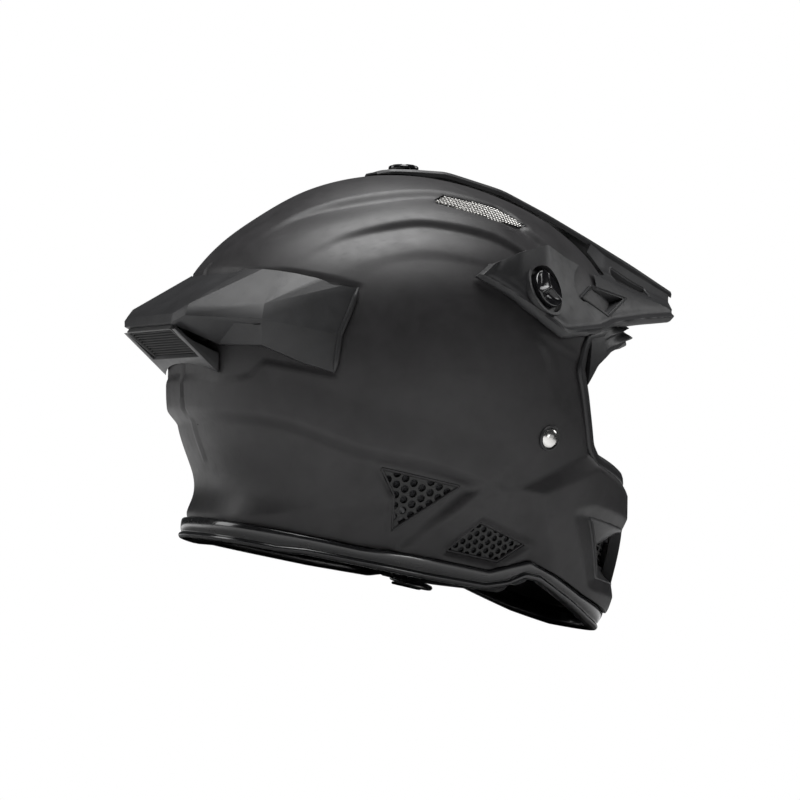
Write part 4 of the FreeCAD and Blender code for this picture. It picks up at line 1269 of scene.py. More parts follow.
# Where the spoiler's upper face meets the shell, as (x, z) from the middle to the side.
SEAM = ((0, 172), (20, 172.4), (39, 173.6), (46, 176.8), (58, 177.8), (68, 178), (78, 177.8), (88, 177),
        (97, 176))
for count, (seam_x, seam_z) in enumerate(SEAM):
    seam_v = level(seam_z * MM)
    _, _, _, seam_half, _, seam_power, _ = section_at(seam_v)
    seam_turn = math.acos((seam_x * MM / seam_half) ** (seam_power / 2))
    on_form, off_form = form_point(seam_v, seam_turn), form_normal(seam_v, seam_turn)
    SPOILER_CORNERS[f"s{count}"] = tuple((on_form + off_form * 0.6 * MM - (0, CENTRE_SHIFT, 0)) / MM)
    SPOILER_CORNERS[f"i{count}"] = tuple((on_form - off_form * 7 * MM - (0, CENTRE_SHIFT, 0)) / MM)
SPOILER_FACES = [
    "s0 peak s1", "s1 peak crease_back", "s1 crease_back s2", "s2 crease_back s3", "s3 crease_back s4",
    "s4 crease_back crease_front", "s4 crease_front s5", "s5 crease_front s6", "s6 crease_front s7",
    "s7 crease_front front_top", "s7 front_top s8", "peak tip tip_corner crease_back",
    "crease_front crease_back panel_back panel_front", "crease_back tip_corner tip_corner_under panel_back",
    "front_top crease_front panel_front front_mid", "front_mid panel_front low_mid low_side",
    "front_mid low_side front_low", "panel_front panel_back low_back low_mid",
    "panel_back tip_corner_under low_back", "tip tip_under tip_corner_under tip_corner",
    "tip_corner_under tip_under in_middle in_back", "low_back tip_corner_under in_back",
    "low_mid low_back in_back in_side", "low_side low_mid in_side", "front_low low_side in_side in_front",
    "front_top front_mid i8 s8", "front_mid front_low in_front i8", "in_middle i0 i1 i2 i3 in_back",
    "in_back i3 i4 i5 in_side", "in_side i5 i6 i7 i8 in_front",
]
SPOILER_FACES += [f"s{k} s{k + 1} i{k + 1} i{k}" for k in range(len(SEAM) - 1)]


def bar_between(start, end, height, depth):
    """A slim square bar used to cut a groove."""
    start, end = model_mm([start, end])
    along = unit(end - start)
    out = unit(np.cross(along, UP))
    section = ((-depth, -height), (depth, -height), (depth, height), (-depth, height))
    return block_between("bar", *[[p + out * d + UP * h for d, h in section] for p in (start, end)])


spoiler = folded("rear_spoiler_body", SPOILER_CORNERS, SPOILER_FACES)
groove = np.array([(52.6, 189, 131.8), (82.5, 148.5, 139.3)])
grooves = [bar_between(*(groove * (side, 1, 1)), 0.55 * MM, 2.2 * MM) for side in (-1, 1)]
cut(spoiler, form_solid(0.25 * MM), *grooves)
soften(spoiler, 1.5 * MM, 3, 12)
smooth(spoiler, 50)
dress(spoiler, "visor_black", "helmet", "rear_spoiler")


# %% Raised lip along the spoiler's front edge
LIP_LINE = side_outline([(96, 175.5), (102.5, 143), (100.5, 119.5)])


def spoiler_lips():
    """A round lip on each side, tapered at both of its ends."""
    tubes = []
    for side in (-1, 1):
        flat = relaxed(evened(LIP_LINE, 50, False), 3, False)
        v, turn = from_side(flat[:, 0], flat[:, 1])
        line = (form_point(v, turn) + form_normal(v, turn) * 1.5 * MM) * (side, 1, 1)
        from_end = np.minimum(np.linspace(0, 1, 50), np.linspace(1, 0, 50))
        radius = 1.9 * MM * np.minimum(1, 0.35 + 6 * from_end)
        tubes.append(tube(line, radius, 10))
    return bundle("spoiler_lips", tubes)


dress(spoiler_lips(), "visor_black", "helmet", "rear_spoiler")

# %% [markdown]
# ## Duct and grille under the spoiler
# Warm air leaves through a slanted grille below the spoiler's tip.  Two cheek plates with a hook
# at their lower end hold it.  The grille itself is a ladder of thin blades, which catch the light
# as fine lines, in front of a dark back plate and inside a raised border.

# %% Duct cheeks
DUCT_SIDE = side_outline([(191, 126.5), (160, 109), (152, 104.5), (144, 108.5), (140, 117), (150, 117.4),
                          (176, 122)])
DUCT_WELL = side_outline([(130, 98.4), (168, 116.3), (168, 90), (230, 90), (230, 160), (130, 160)])
duct = prism(DUCT_SIDE, 0, -46 * MM, 46 * MM)
duct.name = "duct_cheeks"
cut(duct, prism(DUCT_WELL, 0, -40.2 * MM, 40.2 * MM), form_solid(0.4 * MM))
soften(duct, 0.9 * MM, 3)
dress(duct, "satin_black", "helmet", "rear_duct")

# %% Grille blades
GRILLE_LOW, GRILLE_HIGH = model_mm([(0, 165.6, 116.2), (0, 190.6, 128.0)])
GRILLE_HALF = 38.6 * MM
GRILLE_BLADES = 12
BLADE_SECTION = ((-0.65, -1.3), (-0.2, 0.9), (0.15, 1.15), (0.5, 0.9), (0.75, -1.3))
GRILLE_BORDER = [(-0.9, 2.0), (-0.9, -1.4), (-0.5, -1.9), (0.6, -1.9), (1.2, -1.4), (1.4, 0.0), (1.2, 2.0)]


def strip_ends(rows, columns):
    """The two faces that close the ends of a strip whose rows run along it."""
    return [[k * columns for k in range(rows)], [k * columns + columns - 1 for k in range(rows)]]


def grille_blades():
    """The ladder of blades, its back plate and its border."""
    span = GRILLE_HIGH - GRILLE_LOW
    slope = unit(span)
    face = np.cross(slope, (1, 0, 0)) * -1
    x = np.linspace(-GRILLE_HALF, GRILLE_HALF, 25)[:, None] * (1, 0, 0)
    pieces = []
    for share in np.linspace(0.02, 0.98, GRILLE_BLADES):
        line = GRILLE_LOW + span * share + x
        rings = np.array([line + slope * a * MM - face * b * MM for a, b in BLADE_SECTION])
        faces = grid_faces(len(rings), len(x), closed=True) + strip_ends(len(rings), len(x))
        pieces.append(outward(mesh_piece("blade", rings, faces)))
    half = np.array((GRILLE_HALF, 0, 0))
    middle, reach = (GRILLE_LOW + GRILLE_HIGH) / 2 + face * 1.6 * MM, np.linalg.norm(span) / 2
    plate = np.array([middle + slope * a * reach + half * b for a, b in ((-1, -1), (-1, 1), (1, 1), (1, -1))])
    pieces.append(block_between("back", plate - face * 0.4 * MM, plate + face * 0.4 * MM))
    corners = np.array([GRILLE_LOW - half, GRILLE_LOW + half, GRILLE_HIGH + half, GRILLE_HIGH - half])
    line = relaxed(evened(corners, 200), 3)
    pieces.append(sweep("border", line, np.broadcast_to(face, line.shape), GRILLE_BORDER))
    return joined("rear_grille_blades", *pieces)


dress(smooth(grille_blades(), 50), "grille_black", "helmet", "rear_grille")

# %% [markdown]
# ## Visor
# The visor is one moulding: a tongue over the crown, a hood on each side of it, and two wings
# that reach back to the side screws.  Each of the three is a thin slab between an upper and a
# lower grid, made from a handful of stations.  They are joined into one solid, the cups for the
# screws and the windows are cut, and whatever would touch the shell at either end of the tilt
# is taken away, as it is in the CAD model.

# %% Stations of the visor
WING = (((121, 22, 203), (120, 13, 213)), ((123, -5, 196), (117, -8, 227)),
        ((126, -30, 187), (105, -33, 240)), ((121, -52, 181), (92, -56, 237.5)),
        ((105, -85, 192), (77, -88, 236)), ((90, -104, 202), (70, -106, 235.5)),
        ((68, -140, 215), (55, -141, 235.5)), ((46, -177, 227), (41, -178, 235)))
HOOD = (((88, -61, 237), (50, -94, 250), (23, -112, 268)),
        ((70, -106, 235.5), (36, -118, 248), (22, -125, 264)),
        ((55, -141, 235.5), (29, -146, 246.5), (20, -150, 259.5)),
        ((41, -178, 235), (24, -184, 243), (17, -187, 251)))
TONGUE = ((57, 273.4, 272.6, 10), (50, 277.5, 276, 17), (33, 281.6, 280, 20), (10, 287, 284.8, 21),
          (-35, 286.6, 284.2, 23), (-73, 279.4, 277, 25), (-110, 273, 268.6, 25), (-150, 265.3, 260, 22),
          (-189, 254.5, 251, 18.5))
WING_WINDOW = side_outline([(-72, 214), (-83, 224), (-118, 226), (-98, 209)])
TOP_WINDOW = np.array([(30, -128), (52, -122), (40, -158), (27, -160)]) * MM + (0, CENTRE_SHIFT)
VISOR_WALL = 2.5 * MM
KNOB_SEAT, KNOB_AXIS = np.array(joint("screw_turn_left")["pos_m"]), unit(joint("screw_turn_left")["axis"])
CAP_SEAT, CAP_AXIS = np.array(joint("screw_turn_top")["pos_m"]), unit(joint("screw_turn_top")["axis"])


def stretched(stations, per_span, rounds=3):
    """Stations spread to many, with each line between them straight and its corners eased."""
    grid = model_mm(stations)
    share = np.linspace(0, len(grid) - 1, per_span * (len(grid) - 1) + 1)
    low = np.minimum(share.astype(int), len(grid) - 2)
    part = (share - low)[:, None, None]
    return relaxed(grid[low] * (1 - part) + grid[low + 1] * part, rounds, False)


def grid_normals(grid):
    return unit(np.cross(np.gradient(grid, axis=0), np.gradient(grid, axis=1)))


# %% Wing, hood and tongue of the left half
def wing_slab():
    """The side panel, with a rolled lip along its rear and lower edges."""
    ends = stretched(WING, 14)
    share = np.linspace(0, 1, 34)[None, :, None]
    panel = ends[:, :1] * (1 - share) + ends[:, 1:] * share
    normal = grid_normals(panel)
    normal *= np.sign(normal[..., :1])
    width = lengths(ends[:, 1] - ends[:, 0])[:, None]
    from_low = (share * width)[..., 0]
    from_edge = np.minimum(from_low, travelled(panel[:, 17])[:, None] + 0.6 * MM)
    lip = 1.5 * np.exp(-((from_edge - 2.6 * MM) / (2.3 * MM)) ** 2)
    lip = lip - 0.5 * np.exp(-((from_edge - 8 * MM) / (3.0 * MM)) ** 2)
    rolled = -2.4 * (1 - ramp(from_edge, 2.4 * MM))
    bulge = 1.6 * 4 * share[..., 0] * (1 - share[..., 0]) * ramp(width[..., 0] - 10 * MM, 20 * MM)
    panel = panel + normal * ((lip + rolled + bulge) * MM)[..., None]
    return slab("wing", panel, panel - normal * VISOR_WALL)


def hood_slab():
    """The sloping face between wing and tongue, with a soft valley at its shoulder."""
    ends = stretched(HOOD, 16)
    share = np.linspace(0, 2, 31)
    low = np.minimum(share.astype(int), 1)
    part = (share - low)[None, :, None]
    panel = ends[:, low] * (1 - part) + ends[:, low + 1] * part
    panel = np.moveaxis(relaxed(np.moveaxis(panel, 1, 0), 4, False), 0, 1)
    return slab("hood", panel, panel - UP * VISOR_WALL)


def tongue_slab():
    """The long middle strip, arched across, with a fine raised border."""
    stations = stretched([((w, y, edge), (0, y, middle)) for y, middle, edge, w in TONGUE], 14, 5)
    across = np.linspace(-1, 1, 45)[None, :, None]
    edge, middle = stations[:, :1], stations[:, 1:]
    arch = 1 - across ** 2
    panel = middle * arch + edge * (1 - arch)
    panel[..., 0] = edge[..., 0] * across[..., 0]
    near_edge = (1 - np.abs(across[..., 0])) * edge[..., 0]
    border = 0.7 * np.exp(-((near_edge - 2.0 * MM) / (1.2 * MM)) ** 2) - 0.9 * (1 - ramp(near_edge, 1.6 * MM))
    panel[..., 2] += border * MM
    return slab("tongue", panel, panel - UP * (VISOR_WALL + 0.2 * MM))


# %% Rays onto a mesh, to find the windows' lines before they are cut
def landed(piece, starts, direction):
    """Where rays from the starts meet the mesh, and the normals there."""
    work = bmesh.new()
    work.from_mesh(piece.data)
    tree = BVHTree.FromBMesh(work)
    work.free()
    hits = [tree.ray_cast(Vector(start), Vector(direction)) for start in starts]
    points = np.array([hit[0] if hit[0] else start for hit, start in zip(hits, starts)], float)
    normals = np.array([hit[1] if hit[0] else -Vector(direction) for hit in hits], float)
    return points, normals


CUP_RADIUS, CUP_LOW, CUP_HIGH, CUP_FLOOR = 16.4 * MM, 1.3 * MM, 6.0 * MM, 3.3 * MM
visor_half = wing_slab()
cup = rod(CUP_RADIUS + 2 * MM, KNOB_SEAT + KNOB_AXIS * CUP_LOW, KNOB_AXIS, CUP_HIGH - CUP_LOW, 64)
cut(visor_half, hood_slab(), cup, operation="UNION")
wing_line = relaxed(evened(inset(WING_WINDOW, -1.6 * MM), 72), 2)
wing_edge, wing_out = landed(visor_half, np.column_stack([np.full(72, 0.2), wing_line]), (-1, 0, 0))
hood_line = relaxed(evened(inset(TOP_WINDOW, -1.4 * MM), 64), 2)
hood_edge, hood_out = landed(visor_half, np.column_stack([hood_line, np.full(64, 0.3)]), (0, 0, -1))


# %% Drill, join and clear the visor
def make_visor(half):
    """The whole visor: openings cut, halves and tongue joined, and room made for the tilt."""
    cut(half, rod(CUP_RADIUS, KNOB_SEAT + KNOB_AXIS * CUP_FLOOR, KNOB_AXIS, 20 * MM, 64),
        rod(6.6 * MM, KNOB_SEAT - KNOB_AXIS * 2 * MM, KNOB_AXIS, 12 * MM, 32),
        prism(WING_WINDOW, 0, 40 * MM, FAR * MM), prism(TOP_WINDOW, 2, 200 * MM, 300 * MM))
    twin = mirrored_copy(half, "right_half")
    half.name = "visor_shell"
    cut(half, twin, tongue_slab(), operation="UNION")
    slot = np.array([(-3.6, -7.5), (3.6, -7.5), (3.6, 7.5), (-3.6, 7.5)]) * MM + (0, CAP_SEAT[1])
    room = [prism(slot, 2, 0.25, 0.30)]
    for tilt in (VISOR_TRAVEL, -VISOR_TRAVEL):
        port = prism(EYE_PORT, 0, -FAR * MM, FAR * MM)
        room += [form_solid(0.6 * MM, tilt), cut(form_solid(2.0 * MM, tilt), port, operation="INTERSECT")]
    cut(half, *room)
    return half


visor = make_visor(visor_half)
soften(visor, 0.7 * MM, 2, 35)
smooth(visor, 38)
dress(visor, "visor_black", "visor", "visor")

# %% [markdown]
# ## Windows of the visor
# Each opening in the visor has a moulded surround that steps back in facets.  The surround is a
# sweep again, but the visor has no formula, so its line is found by shining rays at the mesh:
# a BVH tree answers where each ray lands and which way the surface faces there.


# %% Surrounds of the four windows
WING_STEPS = [(-0.6, -1.2), (-0.4, 0.35), (0.3, 0.6), (0.9, 0.3), (2.2, -2.2), (4.6, -6.5), (4.2, -8.0),
              (0.5, -4.0)]
HOOD_STEPS = [(-0.6, -1.2), (-0.4, 0.3), (0.3, 0.5), (0.9, 0.1), (1.8, -3.5), (2.2, -6.0), (0.5, -3.0)]


def window_surrounds():
    """Facetted surrounds of the two side windows and the two hood windows."""
    pieces = []
    for edge, out, steps in ((wing_edge, wing_out, WING_STEPS), (hood_edge, hood_out, HOOD_STEPS)):
        level_out = np.broadcast_to(unit(out.mean(0)), edge.shape)
        for flip in ((1, 1, 1), (-1, 1, 1)):
            pieces.append(sweep("surround", edge * flip, level_out * flip, steps))
    return joined("visor_window_surrounds", *pieces)


dress(smooth(window_surrounds(), 30), "visor_black", "visor", "visor")

# %% [markdown]
# ## Screws
# The side screws are turned by hand, so their heads are glossy knobs with three scooped faces
# that meet in a three-pointed ridge.  A round grid of points carries a height for each point:
# high along the three ridges, low between them.  The screw on the crown is a low cap with a slot.


# %% Knob and cap
def placed(points, seat, axis, up_hint=(0, 0, 1)):
    """Points drawn round the origin with Z as their axis, moved to a seat and axis."""
    axis = unit(axis)
    right = unit(np.cross(up_hint, axis))
    up = np.cross(axis, right)
    return seat + points[..., :1] * right + points[..., 1:2] * up + points[..., 2:] * axis


KNOB_RADIUS, KNOB_HEIGHT, KNOB_GAP = 13.3 * MM, 5.6 * MM, 4.5 * MM


def knob_points():
    """Rings of the knob, with three ridges and the scooped faces between them."""
    angle = (2 * math.pi * np.arange(144) / 144)[None, :]
    share = np.concatenate([np.linspace(0.04, 0.9, 26), [0.94, 0.97, 0.99, 1.0, 1.0, 1.0]])[:, None]
    nearest = np.abs((angle - math.pi / 2 + math.pi / 3) % (2 * math.pi / 3) - math.pi / 3)
    radius = share * KNOB_RADIUS * (1 - 0.045 * (1 - np.cos(3 * nearest)) / 2)
    beside_ridge = radius * np.sin(np.minimum(nearest, math.pi / 2))
    scoop = 1 - np.exp(-(beside_ridge / (2.1 * MM)) ** 1.7)
    depth = 3.4 * MM * scoop * (0.35 + 0.65 * np.sin(math.pi * share ** 0.8))
    height = KNOB_HEIGHT * (1 - 0.10 * share ** 2) - depth
    rim = ramp(share - 0.86, 0.08) * ramp(1.02 - share, 0.04)
    height = height * (1 - rim * 0.15) + rim * 0.6 * MM
    height[-4:] = height[-5] - np.array([0.25, 0.8, 2.0, 0]).reshape(4, 1) * MM
    height[-1] = 0
    height = np.broadcast_to(height, radius.shape)
    return np.stack([radius * np.cos(angle), radius * np.sin(angle), height], -1)


def turned_piece(name, rings, seat, axis):
    """A closed piece from rings round an axis, capped at its middle and its underside."""
    faces = grid_faces(*rings.shape[:2], ring=True) + end_caps(*rings.shape[:2])
    return outward(mesh_piece(name, placed(rings, seat, axis), faces))


for word, side in SIDES:
    flip = (side, 1, 1)
    axis = KNOB_AXIS * flip
    head = turned_piece("head", knob_points(), (KNOB_SEAT + KNOB_AXIS * KNOB_GAP) * flip, axis)
    shank = rod(2.9 * MM, (KNOB_SEAT - KNOB_AXIS * 2.5 * MM) * flip, axis, KNOB_GAP + 3 * MM)
    knob = joined(f"side_knob_{word}", head, shank)
    dress(smooth(knob, 50), "knob_gloss", f"visor_screw_{word}", f"visor_screw_{word}")


def revolved(profile, sides=96):
    """Rings round Z from (radius, height) pairs in millimetres."""
    angle = 2 * math.pi * np.arange(sides) / sides
    rings = []
    for r, h in profile:
        rings.append(np.stack([r * MM * np.cos(angle), r * MM * np.sin(angle), np.full(sides, h * MM)], -1))
    return np.array(rings)


CAP_PROFILE = [(0.3, 3.45), (5.5, 3.4), (7.6, 3.2), (8.2, 2.75), (8.7, 2.7), (9.6, 2.5), (10.3, 1.9), (10.5, 1.1),
               (10.4, 0.2), (10.0, 0.0), (3.0, 0.0), (2.9, -7.0), (0.3, -7.0)]
CAP_FOOT = CAP_SEAT + CAP_AXIS * 5.1 * MM
SLOT_PLAN = ((-6.2, -0.9), (6.2, -0.9), (6.2, 0.9), (-6.2, 0.9))      # for a screwdriver's blade
cap = turned_piece("crown_cap_screw", revolved(CAP_PROFILE), CAP_FOOT, CAP_AXIS)
slot_ends = [placed(np.array([(x, y, z) for x, y in SLOT_PLAN]) * MM, CAP_FOOT, CAP_AXIS) for z in (2.2, 6)]
cut(cap, block_between("driver_slot", *slot_ends))
dress(smooth(cap, 30), "knob_gloss", "visor_screw_top", "visor_screw_top")

# %% [markdown]
# ## Strap rivets
# A domed steel rivet holds each end of the chin strap.  It sits in a black ring that keeps the
# shell from cracking.  Both are turned profiles, stood on the shell where the CAD rivet is.

# %% Rivets and rings
RIVET_PROFILE = [(0.2, 3.0), (2.0, 2.9), (4.0, 2.5), (5.6, 1.8), (6.6, 1.0), (6.9, 0.3), (6.9, -0.6), (2.5, -0.8),
                 (2.5, -5), (0.2, -5)]
WASHER_PROFILE = [(6.95, -0.5), (6.95, 0.7), (7.3, 1.15), (7.9, 1.3), (8.4, 1.0), (8.7, 0.4), (8.7, -0.9)]


def ring_piece(name, rings, seat, axis):
    """A closed ring with a hole, from rings round an axis."""
    faces = grid_faces(*rings.shape[:2], ring=True, closed=True)
    return outward(mesh_piece(name, placed(rings, seat, axis), faces))


for word, side in SIDES:
    low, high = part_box(f"strap_rivet_{word}")
    middle = (np.array(low) + np.array(high)) / 2
    v, turn = from_side(middle[1], middle[2])
    axis = form_normal(v, turn) * (side, 1, 1)
    seat = form_point(v, turn) * (side, 1, 1) + axis * 0.3 * MM
    rivet = turned_piece(f"strap_rivet_dome_{word}", revolved(RIVET_PROFILE, 64), seat, axis)
    dress(smooth(rivet, 50), "rivet_steel", "helmet", f"strap_rivet_{word}")
    washer = ring_piece(f"strap_rivet_ring_{word}", revolved(WASHER_PROFILE, 64), seat, axis)
    dress(smooth(washer, 50), "satin_black", "helmet", f"strap_rivet_{word}")

# %% [markdown]
# ## Soft finishes
# Three finishes are not moulded.  Foam is a mass of round beads, which a Voronoi texture gives:
# each cell bulges a little, and painted shade darkens the borders between cells.  The pads wear a fine knit,
# made from two crossed waves with a fuzzy sheen on top.  The strap is woven webbing, with coarse
# ribs across it and threads along it.


# %% Foam, knit and webbing
def textured(name, colour, roughness, sheen=0.0):
    """An empty recipe: its surface node, its tree, and a link to object coordinates."""
    finish = bpy.data.materials.new(name)
    finish.use_nodes = True
    tree = finish.node_tree
    surface = tree.nodes["Principled BSDF"]
    surface.inputs["Base Color"].default_value = (*colour, 1)
    surface.inputs["Roughness"].default_value = roughness
    surface.inputs["Sheen Weight"].default_value = sheen
    surface.inputs["Sheen Roughness"].default_value = 0.5
    surface.inputs["Specular IOR Level"].default_value = 0.3
    return finish, tree, surface, add_node(tree, "ShaderNodeTexCoord").outputs["Object"]


def foam_finish():
    finish, tree, surface, place = textured("beaded_liner_foam", (0.018, 0.018, 0.019), 0.72)
    beads = add_node(tree, "ShaderNodeTexVoronoi", inputs={"Scale": 260.0, "Randomness": 0.85})
    dust = add_node(tree, "ShaderNodeTexNoise", inputs={"Scale": 900.0, "Detail": 3.0})
    patch = add_node(tree, "ShaderNodeTexNoise", inputs={"Scale": 35.0, "Detail": 4.0})
    for texture in (beads, dust, patch):
        tree.links.new(place, texture.inputs["Vector"])
    # The colour is painted shade: darker at the bead borders, in the creases between beads, and lighter in their
    # middles. A slow patch noise on top adds a random tone.
    dome = ranged(tree, beads.outputs["Distance"], 1.0, 0.0, 0.0, 0.75)
    painted_shade_and_tone = add_node(tree, "ShaderNodeMath", operation="MULTIPLY")
    tree.links.new(dome, painted_shade_and_tone.inputs[0])
    tree.links.new(patch.outputs["Fac"], painted_shade_and_tone.inputs[1])
    tinted(tree, painted_shade_and_tone.outputs[0], (0.009, 0.009, 0.010), (0.030, 0.030, 0.031), surface)
    tree.links.new(ranged(tree, dome, 0.82, 0.58), surface.inputs["Roughness"])
    bead_relief = bumped(tree, dome, 0.6, 0.4 * MM)
    tree.links.new(bumped(tree, dust.outputs["Fac"], 0.3, 0.1 * MM, bead_relief), surface.inputs["Normal"])
    return finish


def woven_finish(name, colour, waves, rough, sheen, mottle_scale):
    """Threads crossing at the given (direction, waves per metre, height in millimetres)."""
    finish, tree, surface, place = textured(name, colour, rough, sheen)
    patch = add_node(tree, "ShaderNodeTexNoise", inputs={"Scale": mottle_scale, "Detail": 5.0})
    tree.links.new(place, patch.inputs["Vector"])
    tinted(tree, patch.outputs["Fac"], [c * 0.7 for c in colour], [c * 1.4 for c in colour], surface)
    relief_so_far = None
    for direction, scale, height in waves:
        wave = add_node(tree, "ShaderNodeTexWave", bands_direction=direction,
                        inputs={"Scale": scale, "Distortion": 0.6, "Detail": 2.0})
        tree.links.new(place, wave.inputs["Vector"])
        relief_so_far = bumped(tree, wave.outputs["Fac"], 0.7, height * MM, relief_so_far)
    fuzz = add_node(tree, "ShaderNodeTexNoise", inputs={"Scale": 2200.0, "Detail": 2.0})
    tree.links.new(place, fuzz.inputs["Vector"])
    relief_so_far = bumped(tree, fuzz.outputs["Fac"], 0.4, 0.15 * MM, relief_so_far)
    tree.links.new(relief_so_far, surface.inputs["Normal"])
    uneven = ranged(tree, patch.outputs["Fac"], rough - 0.08, rough + 0.08)
    tree.links.new(uneven, surface.inputs["Roughness"])
    return finish


KNIT_WAVES = (("Y", 210.0, 0.25), ("Z", 210.0, 0.25))
WEBBING_WAVES = (("X", 190.0, 0.35), ("Y", 120.0, 0.2))
KNIT_GREY, WEBBING_GREY = (0.022, 0.022, 0.024), (0.016, 0.016, 0.017)
FINISH.update(
    foam_black=foam_finish(),
    pad_fabric=woven_finish("knitted_pad_cover", KNIT_GREY, KNIT_WAVES, 0.82, 0.35, 60.0),
    strap_webbing=woven_finish("woven_strap_webbing", WEBBING_GREY, WEBBING_WAVES, 0.66, 0.2, 90.0),
)


# %% [markdown]
# ## Foam liner
# The hard foam is carved exactly by the CAD model, so its two meshes stay and only receive the
# beaded finish.  A kept mesh is never moved; changing what it is painted with is enough.

# %% Foam and hidden hardware that keep their CAD meshes
def repaint(slot, *names):
    """A better finish on CAD meshes that stay."""
    for name in names:
        mesh = frame["nodes"][name].data
        mesh.materials.clear()
        mesh.materials.append(FINISH[slot])
    print(f"{slot}: on {', '.join(names)}")


repaint("foam_black", "impact_liner", "chin_foam")
repaint("ring_steel", "strap_anchor_right", "strap_anchor_left")
repaint("bush_brass", "screw_inserts")

# %% [markdown]
# ## Padded cloth
# The cheek pads and the neck roll are foam in a knitted cover.  Their CAD shapes are right but
# look carved, so each is given to the cloth simulator as a closed bag: the mesh is remade in
# even voxels, a little air pressure blows it full, and no gravity pulls at it.  What each point
# moves is then capped, so that the pad still fits between shell and head.  Piping is added
# after the simulation, along a line found on the finished cloth.


# %% Blow up a bag of cloth
CLOTH_FRAMES = 20


def cloth_pad(node, name, voxel, cap, shrink=0.0):
    """A pad from a CAD shape: remade evenly, filled with air, and capped in how far it moves."""
    pad = in_scene(name, frame["nodes"][node].data.copy())
    modify(pad, "REMESH", mode="VOXEL", voxel_size=voxel)
    settle(pad)
    modify(pad, "SMOOTH", factor=0.5, iterations=6)
    settle(pad)
    count = len(pad.data.vertices)
    rest = np.zeros(count * 3)
    pad.data.vertices.foreach_get("co", rest)
    cloth = pad.modifiers.new("cloth", "CLOTH")
    cloth.settings.use_pressure = True
    cloth.settings.uniform_pressure_force = 4.0
    cloth.settings.effector_weights.gravity = 0
    cloth.settings.quality = 5
    cloth.settings.shrink_min = shrink
    for moment in range(1, CLOTH_FRAMES + 1):
        bpy.context.scene.frame_set(moment)
    settle(pad)
    bpy.context.scene.frame_set(1)
    moved = np.zeros(count * 3)
    pad.data.vertices.foreach_get("co", moved)
    rest, moved = rest.reshape(-1, 3), moved.reshape(-1, 3)
    move = moved - rest
    move *= np.minimum(1, cap / np.maximum(lengths(move), 1e-9))
    pad.data.vertices.foreach_set("co", (rest + move).ravel())
    pad.data.update()
    modify(pad, "SUBSURF", levels=1)
    settle(pad)
    return smooth(pad, 80)


def welt(name, pad, flat, inside_x, direction, radius):
    """Piping on a pad along a side-view line, found by rays from inside_x in a direction."""
    line = relaxed(evened(flat, 150), 3)
    starts = np.column_stack([np.full(len(line), inside_x), line])
    points, normals = landed(pad, starts, (direction, 0, 0))
    points = relaxed(points, 4)
    return bundle(name, [tube(points + unit(normals) * 0.3 * MM, radius, 8, True)])


CHEEK_PIPING = side_outline([(48, 24), (-36, 22), (-62, 22), (-84, 24), (-90, 34), (-90, 84), (-80, 98),
                             (-64, 112), (38, 114), (50, 86)])


def cheek_pads():
    """The left cushion with its piping, and its mirror image."""
    pad = cloth_pad("cheek_pad_left", "cheek_cushion_left", 4.5 * MM, 3.0 * MM, 0.02)
    piping = welt("cheek_piping", pad, CHEEK_PIPING, 0.0, 1, 1.3 * MM)
    whole = joined("cheek_cushion_left", pad, piping)
    twin = mirrored_copy(whole, "cheek_cushion_right")
    for piece, word in ((whole, "left"), (twin, "right")):
        smooth(piece, 80)
        dress(piece, "pad_fabric", "helmet", f"cheek_pad_{word}")


cheek_pads()
neck_cushion = cloth_pad("neck_roll", "neck_cushion", 4.0 * MM, 1.5 * MM)
dress(neck_cushion, "pad_fabric", "helmet", "neck_roll")

# %% [markdown]
# ## Quilted crown pad
# The pad inside the crown is a thin dome with stitched channels.  It hugs the cavity, which is
# half an ellipsoid, so it is drawn as a grid of directions from the cavity's middle.  The
# quilting is a height: nearly zero along the channels and full in the middle of each cushion.

# %% Dome with stitched channels
CAVITY_MIDDLE = np.array((0, 13, 130)) * MM + (0, CENTRE_SHIFT, 0)
CAVITY_REACH = np.array((90.5, 115.0, 111.0)) * MM
PAD_THICK = 9.0 * MM
LANES, LANE_REACH = 10, 0.1           # channels that run up the dome, and a radius for their width
HOOPS, HOOP_REACH = (math.radians(34), math.radians(64)), 0.105


def crown_cushion():
    """The quilted dome, thin along its channels and at its lower edge."""
    rings, columns = 70, 240
    rise = np.linspace(math.radians(6), math.pi / 2 - 0.01, rings)[:, None]
    round_it = (2 * math.pi * np.arange(columns) / columns)[None, :]
    level_way = np.cos(rise) * np.cos(round_it), np.cos(rise) * np.sin(round_it)
    way = np.stack(np.broadcast_arrays(*level_way, np.sin(rise)), -1)
    outer = CAVITY_MIDDLE + way * (CAVITY_REACH - 0.8 * MM)
    from_lane = np.abs((round_it / (2 * math.pi) * LANES + 0.5) % 1 - 0.5) / LANES * 2 * math.pi
    lane = from_lane * np.cos(rise) * LANE_REACH
    hoop = np.minimum(np.abs(rise - HOOPS[0]), np.abs(rise - HOOPS[1])) * HOOP_REACH
    near = np.minimum(lane, hoop)
    near = np.minimum(near, (rise - rise[0]) * HOOP_REACH + 1.5 * MM)
    fill = 0.35 + 0.65 * np.sqrt(ramp(near, 9 * MM))
    inner = outer - way * (PAD_THICK * fill)[..., None]
    return turned_rings("crown_cushion", inner, outer)


def turned_rings(name, inner, outer):
    """A closed cup between an inner and an outer grid of rings."""
    rings, columns = inner.shape[:2]
    points = np.concatenate([outer, inner[::-1]])
    faces = grid_faces(2 * rings, columns, ring=True, closed=True)
    return outward(mesh_piece(name, points, faces))


crown_cushion_piece = crown_cushion()
smooth(crown_cushion_piece, 80)
dress(crown_cushion_piece, "pad_fabric", "helmet", "crown_pad")

# %% [markdown]
# ## Chin strap
# The webbing is a flat ribbon that comes down from each rivet between shell and pad, turns under
# the pad's edge and crosses below the chin.  One ends in a loop round the two rings, and the
# other passes through them and ends in a press stud.  Selvedge and stitch rows are modelled,
# because a strap without them looks like cut plastic.

